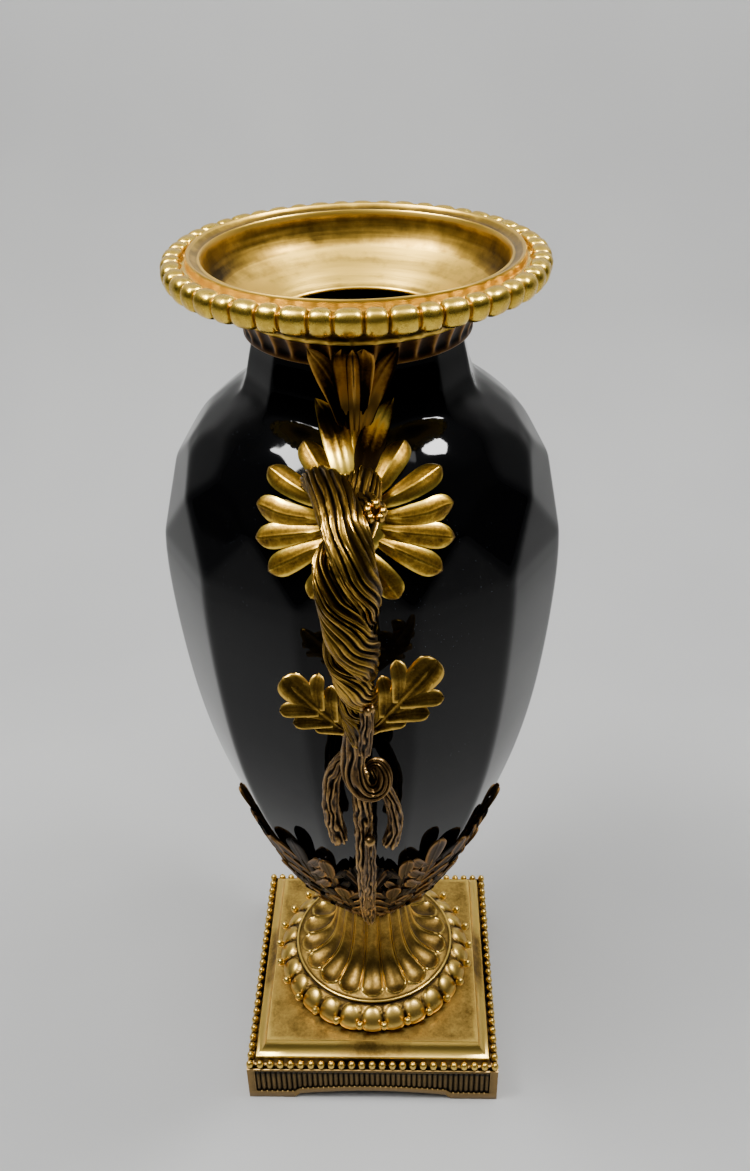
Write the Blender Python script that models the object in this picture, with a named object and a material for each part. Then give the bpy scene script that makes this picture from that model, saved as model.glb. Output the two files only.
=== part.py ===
"""A faceted black porcelain vase in gilt-brass mounts, on a square plinth.

Metres, +Z up. The origin is the middle of the underside. Azimuth 0 faces -Y, where the front handle is, and
azimuth 90 faces +X. Turned and panelled shapes are lofts of closed rings, each ring worked out by a formula.
"""

import math

import bmesh
import bpy
from mathutils import Vector

MM = 0.001
GAP = 0.3 * MM
FLAT_ANGLE = 0.01

# Plinth
PLINTH_HALF = 91.0 * MM
FRIEZE_TOP = 32.5 * MM
FOOT_LENGTH = 34.0 * MM
APRON_STEP = 4.5 * MM
APRON_RISE = 8.5 * MM
PANEL_SIDE_BORDER = 6.0 * MM
PANEL_TOP = 30.5 * MM
PANEL_LOW_AT_FEET = 7.5 * MM
PANEL_LOW = 13.5 * MM
REEDS_PER_SIDE = 45
REED_DEPTH = 1.5 * MM
BEADS_PER_SIDE = 24
BEAD_ROW_HALF = 88.6 * MM
BEAD_WIDTH = 4.6 * MM
BEAD_HEIGHT = 4.6 * MM
SLOPE_HALF = 84.4 * MM
PLATFORM_HALF = 76.2 * MM
PLATFORM_TOP = 48.0 * MM

# Foot
FOOT_LOBES = 24
FOOT_FLUTES = 18
LOBE_RADIUS = 72.5 * MM
LOBE_GROOVE = 3.2 * MM
LOBE_UNDERCUT = 66.0 * MM
RING_LINE_RADIUS = 58.5 * MM
RING_LINE_TOP = 69.0 * MM
FLUTE_DEPTH = 2.6 * MM
STEM_RADIUS = 23.0 * MM
FOOT_TOP = 123.0 * MM

# Porcelain body
PANELS = 12
WALL = 5.0 * MM
BODY_BOTTOM = 141.0 * MM
BELT_HEIGHT = 447.5 * MM
BELT_RADIUS = 116.0 * MM
DIAMOND_SIDE_HEIGHT = 482.0 * MM
DIAMOND_SIDE_RADIUS = 106.5 * MM
DIAMOND_TOP_HEIGHT = 503.0 * MM
DIAMOND_TOP_RADIUS = 95.3 * MM
SHOULDER_HEIGHT = 518.5 * MM
SHOULDER_RADIUS = 80.0 * MM
NECK_FOOT_HEIGHT = 526.5 * MM
NECK_FOOT_RADIUS = 65.8 * MM
NECK_TOP_HEIGHT = 560.5 * MM
NECK_TOP_RADIUS = 57.0 * MM
LOWER_BODY = [(447.5, 116.0), (425.0, 116.8), (385.0, 114.6), (340.0, 109.8), (300.0, 102.7), (262.0, 92.6),
              (225.0, 80.0), (190.0, 65.5), (160.0, 49.5), (141.0, 36.0)]

# Leaf cup round the bottom of the porcelain
CUP_BOTTOM = 123.3 * MM
CUP_THICKNESS = 2.2 * MM
CUP_CLEARANCE = 0.4 * MM
CUP_STATIONS = 72
ROPE_RADIUS = 28.0 * MM
CUP_REPEAT = 60.0
CUP_LEAVES = [(0.0, 6.5, 251.0), (11.0, 5.5, 242.0), (21.0, 6.0, 235.0)]
CUP_LOW_EDGE = 226.0 * MM

# Collar and mouth
COLLAR_BOTTOM = 557.5 * MM
COLLAR_TOP = 570.0 * MM
COLLAR_LOW_RADIUS = 60.6 * MM
COLLAR_HIGH_RADIUS = 65.0 * MM
COLLAR_BORE_GAP = 0.4 * MM
COLLAR_FLUTES = 32
COLLAR_WALL = 3.0 * MM
RIM_TOP = 600.0 * MM
LIP_RADIUS = 86.6 * MM
RIDGE_RADIUS = 80.2 * MM
RIM_RADIUS = 101.0 * MM
RIM_MIDDLE = 592.5 * MM
RIM_UNDERSIDE = 586.4 * MM
FLARE_RADIUS = 73.0 * MM
FLARE_TOP = 579.8 * MM
RIM_LOBE_PAIRS = 22
WIDE_LOBE_SHARE = 0.55
RIM_GROOVE = 3.0 * MM
HOLE_RADIUS = 47.5 * MM
HOLE_TOP = 562.5 * MM

# Rosette on the shoulder
PETALS_PER_SIDE = 6
PETAL_FIRST = 36.0
PETAL_STEP = 22.8
PETAL_REACH = 49.0 * MM
ROSETTE_THICKNESS = 2.6 * MM
ROSETTE_CLEARANCE = 0.4 * MM
SUNK = 7.0 * MM
ROSETTE_HEIGHT = 494.5 * MM
NECK_LEAF_TOP = 569.3 * MM

# Handle
HANDLE_LINE = [(-7, 90, 509.8), (-6.2, 98.5, 515), (-4.5, 110, 516), (-2.7, 125, 513), (-2.1, 142, 507),
               (-2.4, 151.5, 497.2), (-0.5, 154, 482.9), (-0.6, 153, 465.5), (-0.4, 150, 448.9), (0.5, 146, 430.9),
               (1.4, 141, 414.5), (0.6, 137, 401.6), (0.3, 132, 384.1)]
STRAND_TURNS = [180, 176, 152, 128, 90, 42, -10, -90, -165, -270, -370, -450, -500]
STRAND_SPREADS = [10.5, 10.5, 9.4, 8.6, 7.6, 7.6, 7.4, 7.0, 6.4, 5.4, 4.4, 3.4, 2.6]
STRAND_RADII = [7.3, 7.5, 7.8, 7.9, 8.1, 8.3, 8.3, 8.3, 7.4, 6.5, 5.9, 5.7, 5.3]
TRUNK_LINE = [(0.6, 138, 404), (0.4, 134.5, 390), (-0.6, 130, 374), (-1, 127.5, 362.4), (0, 126.5, 350),
              (4.3, 126, 340), (10.3, 125.5, 336.6), (15.6, 124.5, 340.1), (17.2, 123.5, 348.4), (13.8, 122.6, 355.6),
              (8.4, 122.2, 354.8)]
TRUNK_RADII = [6.6, 7.2, 7.2, 6.8, 6.6, 6.2, 5.6, 5.2, 4.8, 4.4, 3.8]
STEM_LINE = [(0, 124, 352), (0.8, 120, 331.6), (0.7, 115, 311.3), (0.2, 111, 295.5), (0.1, 102.5, 256.1),
             (0.1, 93, 226), (0, 79, 194), (0, 66, 166)]
LEFT_ROOT = [(-4, 127.5, 368), (-17, 120.5, 345.4), (-19.2, 116.5, 323.7), (-18, 111.5, 303.3), (-17, 106.5, 281)]
RIGHT_ROOT = [(7, 121, 352), (12, 120, 338.9), (17.8, 116.5, 319.3), (18.7, 111.5, 298.8), (15.6, 106, 279.6)]
BUD_TWIG = [(4.4, 117.5, 294.5), (3.8, 109.5, 266.7), (2.4, 98, 232), (0.8, 81, 196)]
TWIGS = [((4, 112, 512), (11.5, 134.5, 518)), ((3.6, 136, 376), (6.2, 149.5, 419))]
LEAF_LINES = [[(-3, 135.5, 388), (-18, 139.5, 405), (-39, 137, 428)], [(6, 136, 389), (23, 140, 410), (42.5, 137, 436)]]


def polar(radius, azimuth, height):
    """A point from its radius, its azimuth in degrees and its height."""
    angle = math.radians(azimuth)
    return Vector((radius * math.sin(angle), -radius * math.cos(angle), height))


def smooth_line(points, steps):
    """Catmull-Rom points through the given ones, with so many steps between each two."""
    points = [Vector(p) for p in points]
    ends = [2 * points[0] - points[1]] + points + [2 * points[-1] - points[-2]]
    line = []
    for i in range(1, len(ends) - 2):
        a, b, c, d = ends[i - 1:i + 3]
        for k in range(steps):
            t = k / steps
            line.append(0.5 * (2 * b + (c - a) * t + (2 * a - 5 * b + 4 * c - d) * t ** 2
                               + (3 * b - a - 3 * c + d) * t ** 3))
    return line + [points[-1]]


def material(name, colour, roughness, metallic):
    made = bpy.data.materials.new(name)
    made.use_nodes = True
    shader = made.node_tree.nodes["Principled BSDF"]
    shader.inputs["Base Color"].default_value = (*colour, 1.0)
    shader.inputs["Roughness"].default_value = roughness
    shader.inputs["Metallic"].default_value = metallic
    made.diffuse_color = (*colour, 1.0)
    return made


def piece(name, mesh_data, collection, finish):
    """An object of this name from a bmesh, with its finish, facing out."""
    bmesh.ops.recalc_face_normals(mesh_data, faces=mesh_data.faces)
    if mesh_data.calc_volume(signed=True) < 0:
        bmesh.ops.reverse_faces(mesh_data, faces=mesh_data.faces)
    mesh = bpy.data.meshes.new(name)
    mesh_data.to_mesh(mesh)
    mesh_data.free()
    made = bpy.data.objects.new(name, mesh)
    collection.objects.link(made)
    if finish:
        mesh.materials.append(finish)
    return made


def bridge(shape, low, high):
    """Faces between two loops of one length, or between a loop and one with half as many points."""
    if len(low) == len(high):
        for i in range(len(low)):
            j = (i + 1) % len(low)
            shape.faces.new((low[i], low[j], high[j], high[i]))
        return
    many, few = (low, high) if len(low) > len(high) else (high, low)
    for i in range(len(few)):
        j = (i + 1) % len(few)
        a, b, c = many[2 * i], many[2 * i + 1], many[(2 * i + 2) % len(many)]
        shape.faces.new((a, b, few[i]))
        shape.faces.new((b, few[j], few[i]))
        shape.faces.new((b, c, few[j]))


def loft(rings, wrap=False):
    """A closed bmesh through rings of points, with a cap at each end, or none where it is wrapped."""
    made = bmesh.new()
    loops = [[made.verts.new(p) for p in ring] for ring in rings]
    pairs = list(zip(loops, loops[1:] + loops[:1])) if wrap else list(zip(loops, loops[1:]))
    for low, high in pairs:
        bridge(made, low, high)
    if not wrap:
        made.faces.new(loops[0])
        made.faces.new(list(reversed(loops[-1])))
    return made


def combine(target, tool, operation):
    """Applies one Boolean to the target and removes the tool."""
    modifier = target.modifiers.new(operation, "BOOLEAN")
    modifier.operation = operation
    modifier.solver = "EXACT"
    modifier.use_self = operation == "UNION"
    modifier.object = tool
    graph = bpy.context.evaluated_depsgraph_get()
    mesh = bpy.data.meshes.new_from_object(target.evaluated_get(graph))
    target.modifiers.clear()
    target.data = mesh
    bpy.data.objects.remove(tool)


def join_all(name, pieces, collection, finish):
    """One object that is the union of the pieces."""
    whole = pieces[0]
    for other in pieces[1:]:
        combine(whole, other, "UNION")
    whole.name = name
    whole.data.name = name
    whole.data.materials.clear()
    whole.data.materials.append(finish)
    return tidied(whole)


def tidied(made):
    """The piece with doubled points welded and flat regions merged."""
    shape = bmesh.new()
    shape.from_mesh(made.data)
    bmesh.ops.remove_doubles(shape, verts=shape.verts, dist=0.02 * MM)
    bmesh.ops.dissolve_limit(shape, angle_limit=FLAT_ANGLE, verts=shape.verts, edges=shape.edges)
    bmesh.ops.triangulate(shape, faces=shape.faces)
    shape.to_mesh(made.data)
    shape.free()
    return made


def tube(name, points, radii, collection, sides=6):
    """A closed tube along the points, from a curve with a bevel, as a welded mesh."""
    curve = bpy.data.curves.new(name, "CURVE")
    curve.dimensions = "3D"
    curve.bevel_depth = 1.0
    curve.bevel_resolution = (sides - 4) // 2
    curve.use_fill_caps = True
    spline = curve.splines.new("POLY")
    spline.points.add(len(points) - 1)
    for i, point in enumerate(points):
        spline.points[i].co = (*point, 1.0)
        spline.points[i].radius = radii[i]
    guide = bpy.data.objects.new(name, curve)
    collection.objects.link(guide)
    graph = bpy.context.evaluated_depsgraph_get()
    shape = bmesh.new()
    shape.from_mesh(bpy.data.meshes.new_from_object(guide.evaluated_get(graph)))
    bmesh.ops.remove_doubles(shape, verts=shape.verts, dist=0.01 * MM)
    bpy.data.objects.remove(guide)
    return piece(name, shape, collection, None)


def mirrored_to_back(source, name, collection):
    """A copy turned half round the axis, for the far side."""
    shape = bmesh.new()
    shape.from_mesh(source.data)
    for vertex in shape.verts:
        vertex.co = Vector((-vertex.co.x, -vertex.co.y, vertex.co.z))
    return piece(name, shape, collection, source.data.materials[0])


# Porcelain body

def body_rings():
    """Rings of the outside from the bottom up: (radius, height, half step). Half-step rings sit between the ridges."""
    line = smooth_line([(0, r * MM, z * MM) for z, r in LOWER_BODY], 1)
    rings = [(p.y, p.z, False) for p in reversed(line)]
    rings += [
        (DIAMOND_SIDE_RADIUS, DIAMOND_SIDE_HEIGHT, True),
        (DIAMOND_TOP_RADIUS, DIAMOND_TOP_HEIGHT, False),
        (SHOULDER_RADIUS, SHOULDER_HEIGHT, True),
        (NECK_FOOT_RADIUS, NECK_FOOT_HEIGHT, False),
        (NECK_TOP_RADIUS, NECK_TOP_HEIGHT, False),
    ]
    return rings


def ring_azimuths(half_step):
    step = 360.0 / PANELS
    return [step * (i + (0.0 if half_step else 0.5)) for i in range(PANELS)]


def body_radius(azimuth, height):
    """Radius of the porcelain's outside at an azimuth and a height, on its flat facets."""
    rings = body_rings()
    height = min(max(height, rings[0][1]), rings[-1][1])
    for (r0, z0, half0), (r1, z1, half1) in zip(rings, rings[1:]):
        if z0 <= height <= z1:
            break
    t = (height - z0) / (z1 - z0)
    step = 360.0 / PANELS
    corners = []
    for a0 in ring_azimuths(half0):
        near = [a0] if half0 == half1 else [a0 - step / 2, a0 + step / 2]
        for a1 in near:
            low = polar(r0, a0, 0)
            high = polar(r1, a1, 0)
            point = low.lerp(high, t)
            corners.append((math.degrees(math.atan2(point.x, -point.y)) % 360.0, point))
    corners.sort(key=lambda c: c[0])
    ray = polar(1.0, azimuth, 0)
    for (_, p), (_, q) in zip(corners, corners[1:] + corners[:1]):
        side = q - p
        cross = ray.x * side.y - ray.y * side.x
        if abs(cross) < 1e-12:
            continue
        along = (p.x * side.y - p.y * side.x) / cross
        share = (p.x * ray.y - p.y * ray.x) / cross
        if along > 0 and -1e-6 <= share <= 1 + 1e-6:
            return along
    return r0


def stitch_panels(made, loops):
    """Faces between rings of twelve, straight where both have the same step and zigzag where they alternate."""
    for (low, low_half), (high, high_half) in zip(loops, loops[1:]):
        for i in range(PANELS):
            j = (i + 1) % PANELS
            if low_half == high_half:
                made.faces.new((low[i], low[j], high[j], high[i]))
            elif high_half:
                made.faces.new((low[i], high[j], high[i]))
                made.faces.new((low[i], low[j], high[j]))
            else:
                made.faces.new((low[i], low[j], high[i]))
                made.faces.new((low[j], high[j], high[i]))
    made.faces.new(loops[0][0])
    made.faces.new(loops[-1][0])


def body_former(clearance, collection):
    """The porcelain's outside a little larger and solid, to fit other pieces round it."""
    made = bmesh.new()
    loops = []
    for radius, height, half in body_rings():
        if not loops:
            height -= clearance
        loops.append(([made.verts.new(polar(radius + clearance * 1.04, a, height)) for a in ring_azimuths(half)],
                      half))
    return_top = [made.verts.new(polar(NECK_TOP_RADIUS, a, NECK_TOP_HEIGHT + 9 * MM)) for a in ring_azimuths(False)]
    loops.append((return_top, False))
    stitch_panels(made, loops)
    return piece("former", made, collection, None)


def inner_radius(height):
    """Radius of the inside's corners at a height, so that the wall is WALL thick square to the surface."""
    radii = []
    for azimuth, widen in ((0.0, math.cos(math.radians(180.0 / PANELS))), (15.0, 1.0)):
        step = 2.0 * MM
        above = body_radius(azimuth, min(height + step, NECK_TOP_HEIGHT))
        below = body_radius(azimuth, min(height, NECK_TOP_HEIGHT - step) - step)
        lean = (above - below) / (2 * step)
        radii.append((body_radius(azimuth, min(height, NECK_TOP_HEIGHT)) - WALL * math.hypot(1.0, lean)) / widen)
    return min(radii)


def vase_body(collection, finish):
    """The porcelain: faceted outside, twelve-sided inside, closed below and open at the neck."""
    made = bmesh.new()
    loops = []
    for radius, height, half in body_rings():
        loops.append(([made.verts.new(polar(radius, a, height)) for a in ring_azimuths(half)], half))
    for height in (560.5, 527.0, 519.5, 507.0, 478.0, 440.0, 380.0, 310.0, 250.0, 200.0, 165.0, 149.0):
        radius = inner_radius(height * MM)
        loops.append(([made.verts.new(polar(radius, a, height * MM)) for a in ring_azimuths(False)], False))
    stitch_panels(made, loops)
    return piece("vase_body", made, collection, finish)


# Plinth

def prism(points, depth_axis, low, high, name, collection):
    """A prism of an outline in the XZ plane, along Y or, turned, along X."""
    shape = bmesh.new()
    rings = []
    for depth in (low, high):
        rings.append([shape.verts.new((x, depth, z) if depth_axis == "Y" else (depth, x, z)) for x, z in points])
    shape.faces.new(rings[0])
    shape.faces.new(rings[1])
    for i in range(len(points)):
        j = (i + 1) % len(points)
        shape.faces.new((rings[0][i], rings[0][j], rings[1][j], rings[1][i]))
    return piece(name, shape, collection, None)


def apron_outline():
    """The arch under one side: straight up beside each foot, then a shallow curve."""
    half = PLINTH_HALF - FOOT_LENGTH
    arch = [(half * (1 - 2 * k / 8), APRON_STEP + (APRON_RISE - APRON_STEP) * math.sin(math.pi * k / 8))
            for k in range(9)]
    return [(half, -2 * MM)] + arch + [(-half, -2 * MM)]


def reed_cutter(side, collection):
    """A comb that sinks one side's panel to a row of upright reeds, lower over the feet."""
    half = PLINTH_HALF - PANEL_SIDE_BORDER
    pitch = 2 * half / REEDS_PER_SIDE
    foot_limit = PLINTH_HALF - FOOT_LENGTH
    out = PLINTH_HALF + 3 * MM
    stations = []
    for k in range(2 * REEDS_PER_SIDE + 1):
        x = -half + pitch * k / 2
        depth = REED_DEPTH if k % 2 == 0 else 0.25 * MM
        low = PANEL_LOW_AT_FEET if abs(x) > foot_limit else PANEL_LOW
        stations.append((x, PLINTH_HALF - depth, low))
    shape = bmesh.new()
    inner_low = [shape.verts.new((x, -y, low)) for x, y, low in stations]
    inner_high = [shape.verts.new((x, -y, PANEL_TOP)) for x, y, low in stations]
    outer_low = [shape.verts.new((x, -out, low)) for x, y, low in stations]
    outer_high = [shape.verts.new((x, -out, PANEL_TOP)) for x, y, low in stations]
    last = len(stations) - 1
    shape.faces.new(inner_high + outer_high[::-1])
    shape.faces.new(outer_low + outer_high[::-1])
    shape.faces.new((inner_low[0], inner_high[0], outer_high[0], outer_low[0]))
    shape.faces.new((inner_low[last], inner_high[last], outer_high[last], outer_low[last]))
    start = 0
    for k in range(last):
        shape.faces.new((inner_low[k], inner_low[k + 1], inner_high[k + 1], inner_high[k]))
        level_ends = stations[k + 1][2] != stations[k][2]
        if level_ends or k + 1 == last:
            stop = k if level_ends else last
            shape.faces.new(inner_low[start:stop + 1] + outer_low[start:stop + 1][::-1])
            if level_ends:
                shape.faces.new((inner_low[k], inner_low[k + 1], outer_low[k + 1], outer_low[k]))
                start = k + 1
    cutter = piece("reed_cutter", shape, collection, None)
    turn = math.radians(90 * side)
    for vertex in cutter.data.vertices:
        x, y, z = vertex.co
        vertex.co = (x * math.cos(turn) - y * math.sin(turn), x * math.sin(turn) + y * math.cos(turn), z)
    return cutter


def square_ring(half, height, per_side=1):
    """Points round a square, the same number on each side, starting at the corner (-half, -half)."""
    ring = []
    for side in range(4):
        turn = math.radians(90 * side)
        for k in range(per_side):
            x, y = -half + 2 * half * k / per_side, -half
            ring.append(Vector((x * math.cos(turn) - y * math.sin(turn), x * math.sin(turn) + y * math.cos(turn),
                                height)))
    return ring


def bead_row_and_platform(collection):
    """The upper plinth: a row of faceted beads that share a bed, then the ogee slope and the flat platform."""
    shape = bmesh.new()
    count = 4 * BEADS_PER_SIDE
    bed = FRIEZE_TOP - 4 * MM
    foot_ring = [shape.verts.new(p) for p in square_ring(BEAD_ROW_HALF + 1.2 * MM, bed)]
    low_ring = [shape.verts.new(p) for p in square_ring(BEAD_ROW_HALF + 1.2 * MM, FRIEZE_TOP, BEADS_PER_SIDE)]
    top_half = BEAD_ROW_HALF - BEAD_WIDTH / 2
    high_ring = [shape.verts.new(p) for p in square_ring(top_half, FRIEZE_TOP + BEAD_HEIGHT * 0.62, BEADS_PER_SIDE)]
    for i in range(count):
        j = (i + 1) % count
        corners = [low_ring[i], low_ring[j], high_ring[j], high_ring[i]]
        middle = sum((v.co for v in corners), Vector()) / 4
        out = (low_ring[i].co - high_ring[i].co).normalized() + Vector((0, 0, 1.2))
        along = (low_ring[j].co - low_ring[i].co) * 0.17
        crest = middle + out.normalized() * BEAD_WIDTH * 0.48
        left = shape.verts.new(crest - along)
        right = shape.verts.new(crest + along)
        shape.faces.new((corners[0], corners[1], right, left))
        shape.faces.new((corners[2], corners[3], left, right))
        shape.faces.new((corners[1], corners[2], right))
        shape.faces.new((corners[3], corners[0], left))
    levels = [(SLOPE_HALF, FRIEZE_TOP + BEAD_HEIGHT * 0.55), (SLOPE_HALF - 0.6 * MM, FRIEZE_TOP + 7.2 * MM),
              (PLATFORM_HALF + 2.6 * MM, PLATFORM_TOP - 3.6 * MM),
              (PLATFORM_HALF, PLATFORM_TOP)]
    rings = [[shape.verts.new(p) for p in square_ring(half, z)] for half, z in levels]
    first = rings[0]
    for side in range(4):
        row = high_ring[side * BEADS_PER_SIDE:(side + 1) * BEADS_PER_SIDE]
        row.append(high_ring[((side + 1) * BEADS_PER_SIDE) % count])
        shape.faces.new(row + [first[(side + 1) % 4], first[side]])
        row = low_ring[side * BEADS_PER_SIDE:(side + 1) * BEADS_PER_SIDE]
        row.append(low_ring[((side + 1) * BEADS_PER_SIDE) % count])
        shape.faces.new(row + [foot_ring[(side + 1) % 4], foot_ring[side]])
    for low, high in zip(rings, rings[1:]):
        for i in range(4):
            j = (i + 1) % 4
            shape.faces.new((low[i], low[j], high[j], high[i]))
    shape.faces.new(rings[-1])
    shape.faces.new(foot_ring)
    return piece("plinth_top", shape, collection, None)


def plinth(collection, finish):
    shape = bmesh.new()
    bmesh.ops.create_cube(shape, size=1.0)
    for vertex in shape.verts:
        vertex.co = Vector((vertex.co.x * 2 * PLINTH_HALF, vertex.co.y * 2 * PLINTH_HALF,
                            (vertex.co.z + 0.5) * FRIEZE_TOP))
    block = piece("plinth", shape, collection, None)
    reach = PLINTH_HALF + 5 * MM
    for axis in ("Y", "X"):
        combine(block, prism(apron_outline(), axis, -reach, reach, "apron_cutter", collection), "DIFFERENCE")
    for side in range(4):
        combine(block, reed_cutter(side, collection), "DIFFERENCE")
    return join_all("plinth", [block, bead_row_and_platform(collection)], collection, finish)


# Foot

def foot(collection, finish):
    """One loft: gadroon ring with beads in its grooves, raised ring, hollow flutes and the stem."""
    count = FOOT_LOBES * 3
    base = PLATFORM_TOP + GAP
    rings = []
    lobe_levels = [
        (LOBE_UNDERCUT, base, 0.0, 0.0),
        (LOBE_RADIUS - 0.4 * MM, base + 5.0 * MM, 1.0, 0.0),
        (LOBE_RADIUS - 1.2 * MM, base + 12.5 * MM, 1.0, 1.0),
        (LOBE_RADIUS - 6.0 * MM, base + 19.5 * MM, 0.9, 0.0),
    ]
    for radius, height, groove, bead in lobe_levels:
        ring = []
        for k in range(count):
            in_groove = k % 3 == 0
            cut = LOBE_GROOVE * groove if in_groove else 0.0
            lift = LOBE_GROOVE * 1.1 * bead if in_groove else 0.0
            ring.append(polar(radius - cut + lift, 360.0 * (k + 1.5) / count, height))
        rings.append(ring)
    rings.append([polar(RING_LINE_RADIUS, 360.0 * (k + 1.5) / count, RING_LINE_TOP + 1.2 * MM) for k in range(count)])
    flute_line = [(54.0, 70.6, 0.55), (43.0, 74.5, 1.0), (31.5, 85.5, 1.0), (25.5, 99.0, 0.5)]
    for out, up, hollow in flute_line:
        ring = []
        for k in range(count):
            sink = FLUTE_DEPTH * hollow * [0.0, 0.8, 1.0, 0.8][k % 4]
            ring.append(polar(out * MM - 0.6 * sink, 360.0 * (k + 1.5) / count, up * MM - 0.8 * sink))
        rings.append(ring)
    half = count // 2
    for radius, height in ((STEM_RADIUS, FOOT_TOP - 8 * MM), (STEM_RADIUS + 1.5 * MM, FOOT_TOP)):
        rings.append([polar(radius, 360.0 * (k + 0.75) / half, height) for k in range(half)])
    return piece("foot", loft(rings), collection, finish)


# Leaf cup

def from_leaf(azimuth):
    """Degrees from the middle of the nearest tall leaf: tall leaves stand at 30, 90, 150 and so on."""
    return abs((azimuth + CUP_REPEAT) % CUP_REPEAT - CUP_REPEAT / 2)


def cup_edge(azimuth):
    """Height of the cup's upper edge: tall leaf tips with lower leaves and a fan between them."""
    height = CUP_LOW_EDGE
    for centre, half_width, top in CUP_LEAVES:
        away = abs(from_leaf(azimuth) - centre) / half_width
        if away < 1.0:
            height = max(height, CUP_LOW_EDGE + (top * MM - CUP_LOW_EDGE) * math.sqrt(1.0 - away ** 2.4))
    return height


def cup_relief(azimuth, share):
    """Extra thickness from the leaves: a raised middle rib, falling to each leaf's edge and fading downwards."""
    best = 0.0
    for centre, half_width, top in CUP_LEAVES:
        best = max(best, 1.0 - abs(from_leaf(azimuth) - centre) / half_width)
    return 2.2 * MM * best * share


def leaf_cup(collection, finish):
    stations = [360.0 * k / CUP_STATIONS for k in range(CUP_STATIONS)]
    halves = stations[::2]
    rings = [
        [polar(ROPE_RADIUS - 3.0 * MM, a, CUP_BOTTOM) for a in halves],
        [polar(ROPE_RADIUS + (0.9 * MM if i % 2 else 0.0), a, CUP_BOTTOM + 2.5 * MM) for i, a in enumerate(halves)],
        [polar(ROPE_RADIUS - 0.8 * MM, a, CUP_BOTTOM + 5.5 * MM) for a in halves],
    ]
    seat = BODY_BOTTOM
    for share in (0.12, 0.40, 0.72, 0.93):
        ring = []
        for a in halves if share < 0.2 else stations:
            height = seat + (cup_edge(a) - seat) * share
            flare = 4.0 * MM * max(0.0, share - 0.5)
            ring.append(polar(body_radius(a, height) + CUP_CLEARANCE + CUP_THICKNESS + flare
                              + cup_relief(a, 0.35 + 0.5 * share), a, height))
        rings.append(ring)
    for out in (2.4 * MM, -3.0 * MM):
        rings.append([polar(body_radius(a, cup_edge(a)) + CUP_CLEARANCE + out, a, cup_edge(a)) for a in stations])
    rings.append([polar(body_radius(a, 222.0 * MM) - 8.0 * MM, a, 222.0 * MM) for a in halves])
    cup = piece("leaf_cup", loft(rings), collection, finish)
    combine(cup, body_former(CUP_CLEARANCE, collection), "DIFFERENCE")
    return cup


# Collar and rim

def neck_collar(collection, finish):
    count = COLLAR_FLUTES * 2
    rings = []
    outside = [(COLLAR_LOW_RADIUS, COLLAR_BOTTOM, 0.0), (COLLAR_LOW_RADIUS + 1.4 * MM, COLLAR_BOTTOM + 6.5 * MM, 0.8),
               (COLLAR_HIGH_RADIUS, COLLAR_TOP, 0.4)]
    for radius, height, flute in outside:
        rings.append([polar(radius - (flute * MM if k % 2 else 0.0), 360.0 * k / count, height) for k in range(count)])
    bore = body_radius(15.0, COLLAR_BOTTOM) + COLLAR_BORE_GAP
    inside = [(COLLAR_HIGH_RADIUS - COLLAR_WALL, COLLAR_TOP), (bore + 0.4 * MM, COLLAR_BOTTOM + 6.0 * MM),
              (bore, COLLAR_BOTTOM)]
    for radius, height in inside:
        rings.append([polar(radius / math.cos(math.pi * 2 / count), 720.0 * k / count, height)
                      for k in range(count // 2)])
    return piece("neck_collar", loft(rings, wrap=True), collection, finish)


def rim_stations():
    """Azimuths round the rim, four to a pair: groove, middle of a wide lobe, groove, middle of a narrow lobe."""
    pair = 360.0 / RIM_LOBE_PAIRS
    wide = pair * WIDE_LOBE_SHARE
    stations = []
    for i in range(RIM_LOBE_PAIRS):
        start = i * pair - wide / 2
        stations += [(start, True), (start + wide / 2, False), (start + wide, True),
                     (start + (wide + pair) / 2, False)]
    return stations


def mouth_rim(collection, finish):
    """Gadrooned rim over a smooth funnel, one wrapped loft round the opening."""
    stations = rim_stations()
    halves = stations[::2]
    seat = COLLAR_TOP + GAP
    rings = []
    lobed = [(RIM_RADIUS - 7.0 * MM, RIM_UNDERSIDE, 0.2), (RIM_RADIUS, RIM_MIDDLE - 1.5 * MM, 1.0),
             (RIM_RADIUS - 2.8 * MM, RIM_MIDDLE + 5.2 * MM, 1.0), (LIP_RADIUS + 2.6 * MM, RIM_MIDDLE + 4.9 * MM, 0.2)]
    for radius, height, groove in lobed:
        ring = []
        for azimuth, in_groove in stations:
            cut = RIM_GROOVE * groove if in_groove else 0.0
            ring.append(polar(radius - cut * 0.8, azimuth, height - (cut * 0.5 if height > RIM_MIDDLE else 0.0)))
        rings.append(ring)
    seat_inside = COLLAR_HIGH_RADIUS - COLLAR_WALL - 0.6 * MM
    smooth = [(LIP_RADIUS + 0.7 * MM, RIM_TOP), (LIP_RADIUS - 0.9 * MM, RIM_TOP), (RIDGE_RADIUS, RIM_TOP - 3.5 * MM),
              (RIDGE_RADIUS - 4.5 * MM, RIM_TOP - 12.5 * MM), (66.0 * MM, 577.5 * MM), (HOLE_RADIUS, HOLE_TOP),
              (HOLE_RADIUS + 0.5 * MM, HOLE_TOP - 2.2 * MM), (57.0 * MM, 565.8 * MM), (seat_inside, seat),
              (COLLAR_HIGH_RADIUS, seat), (FLARE_RADIUS, FLARE_TOP)]
    for radius, height in smooth:
        rings.append([polar(radius, azimuth, height) for azimuth, _ in halves])
    return piece("mouth_rim", loft(rings, wrap=True), collection, finish)


# Rosette and neck leaf

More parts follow.
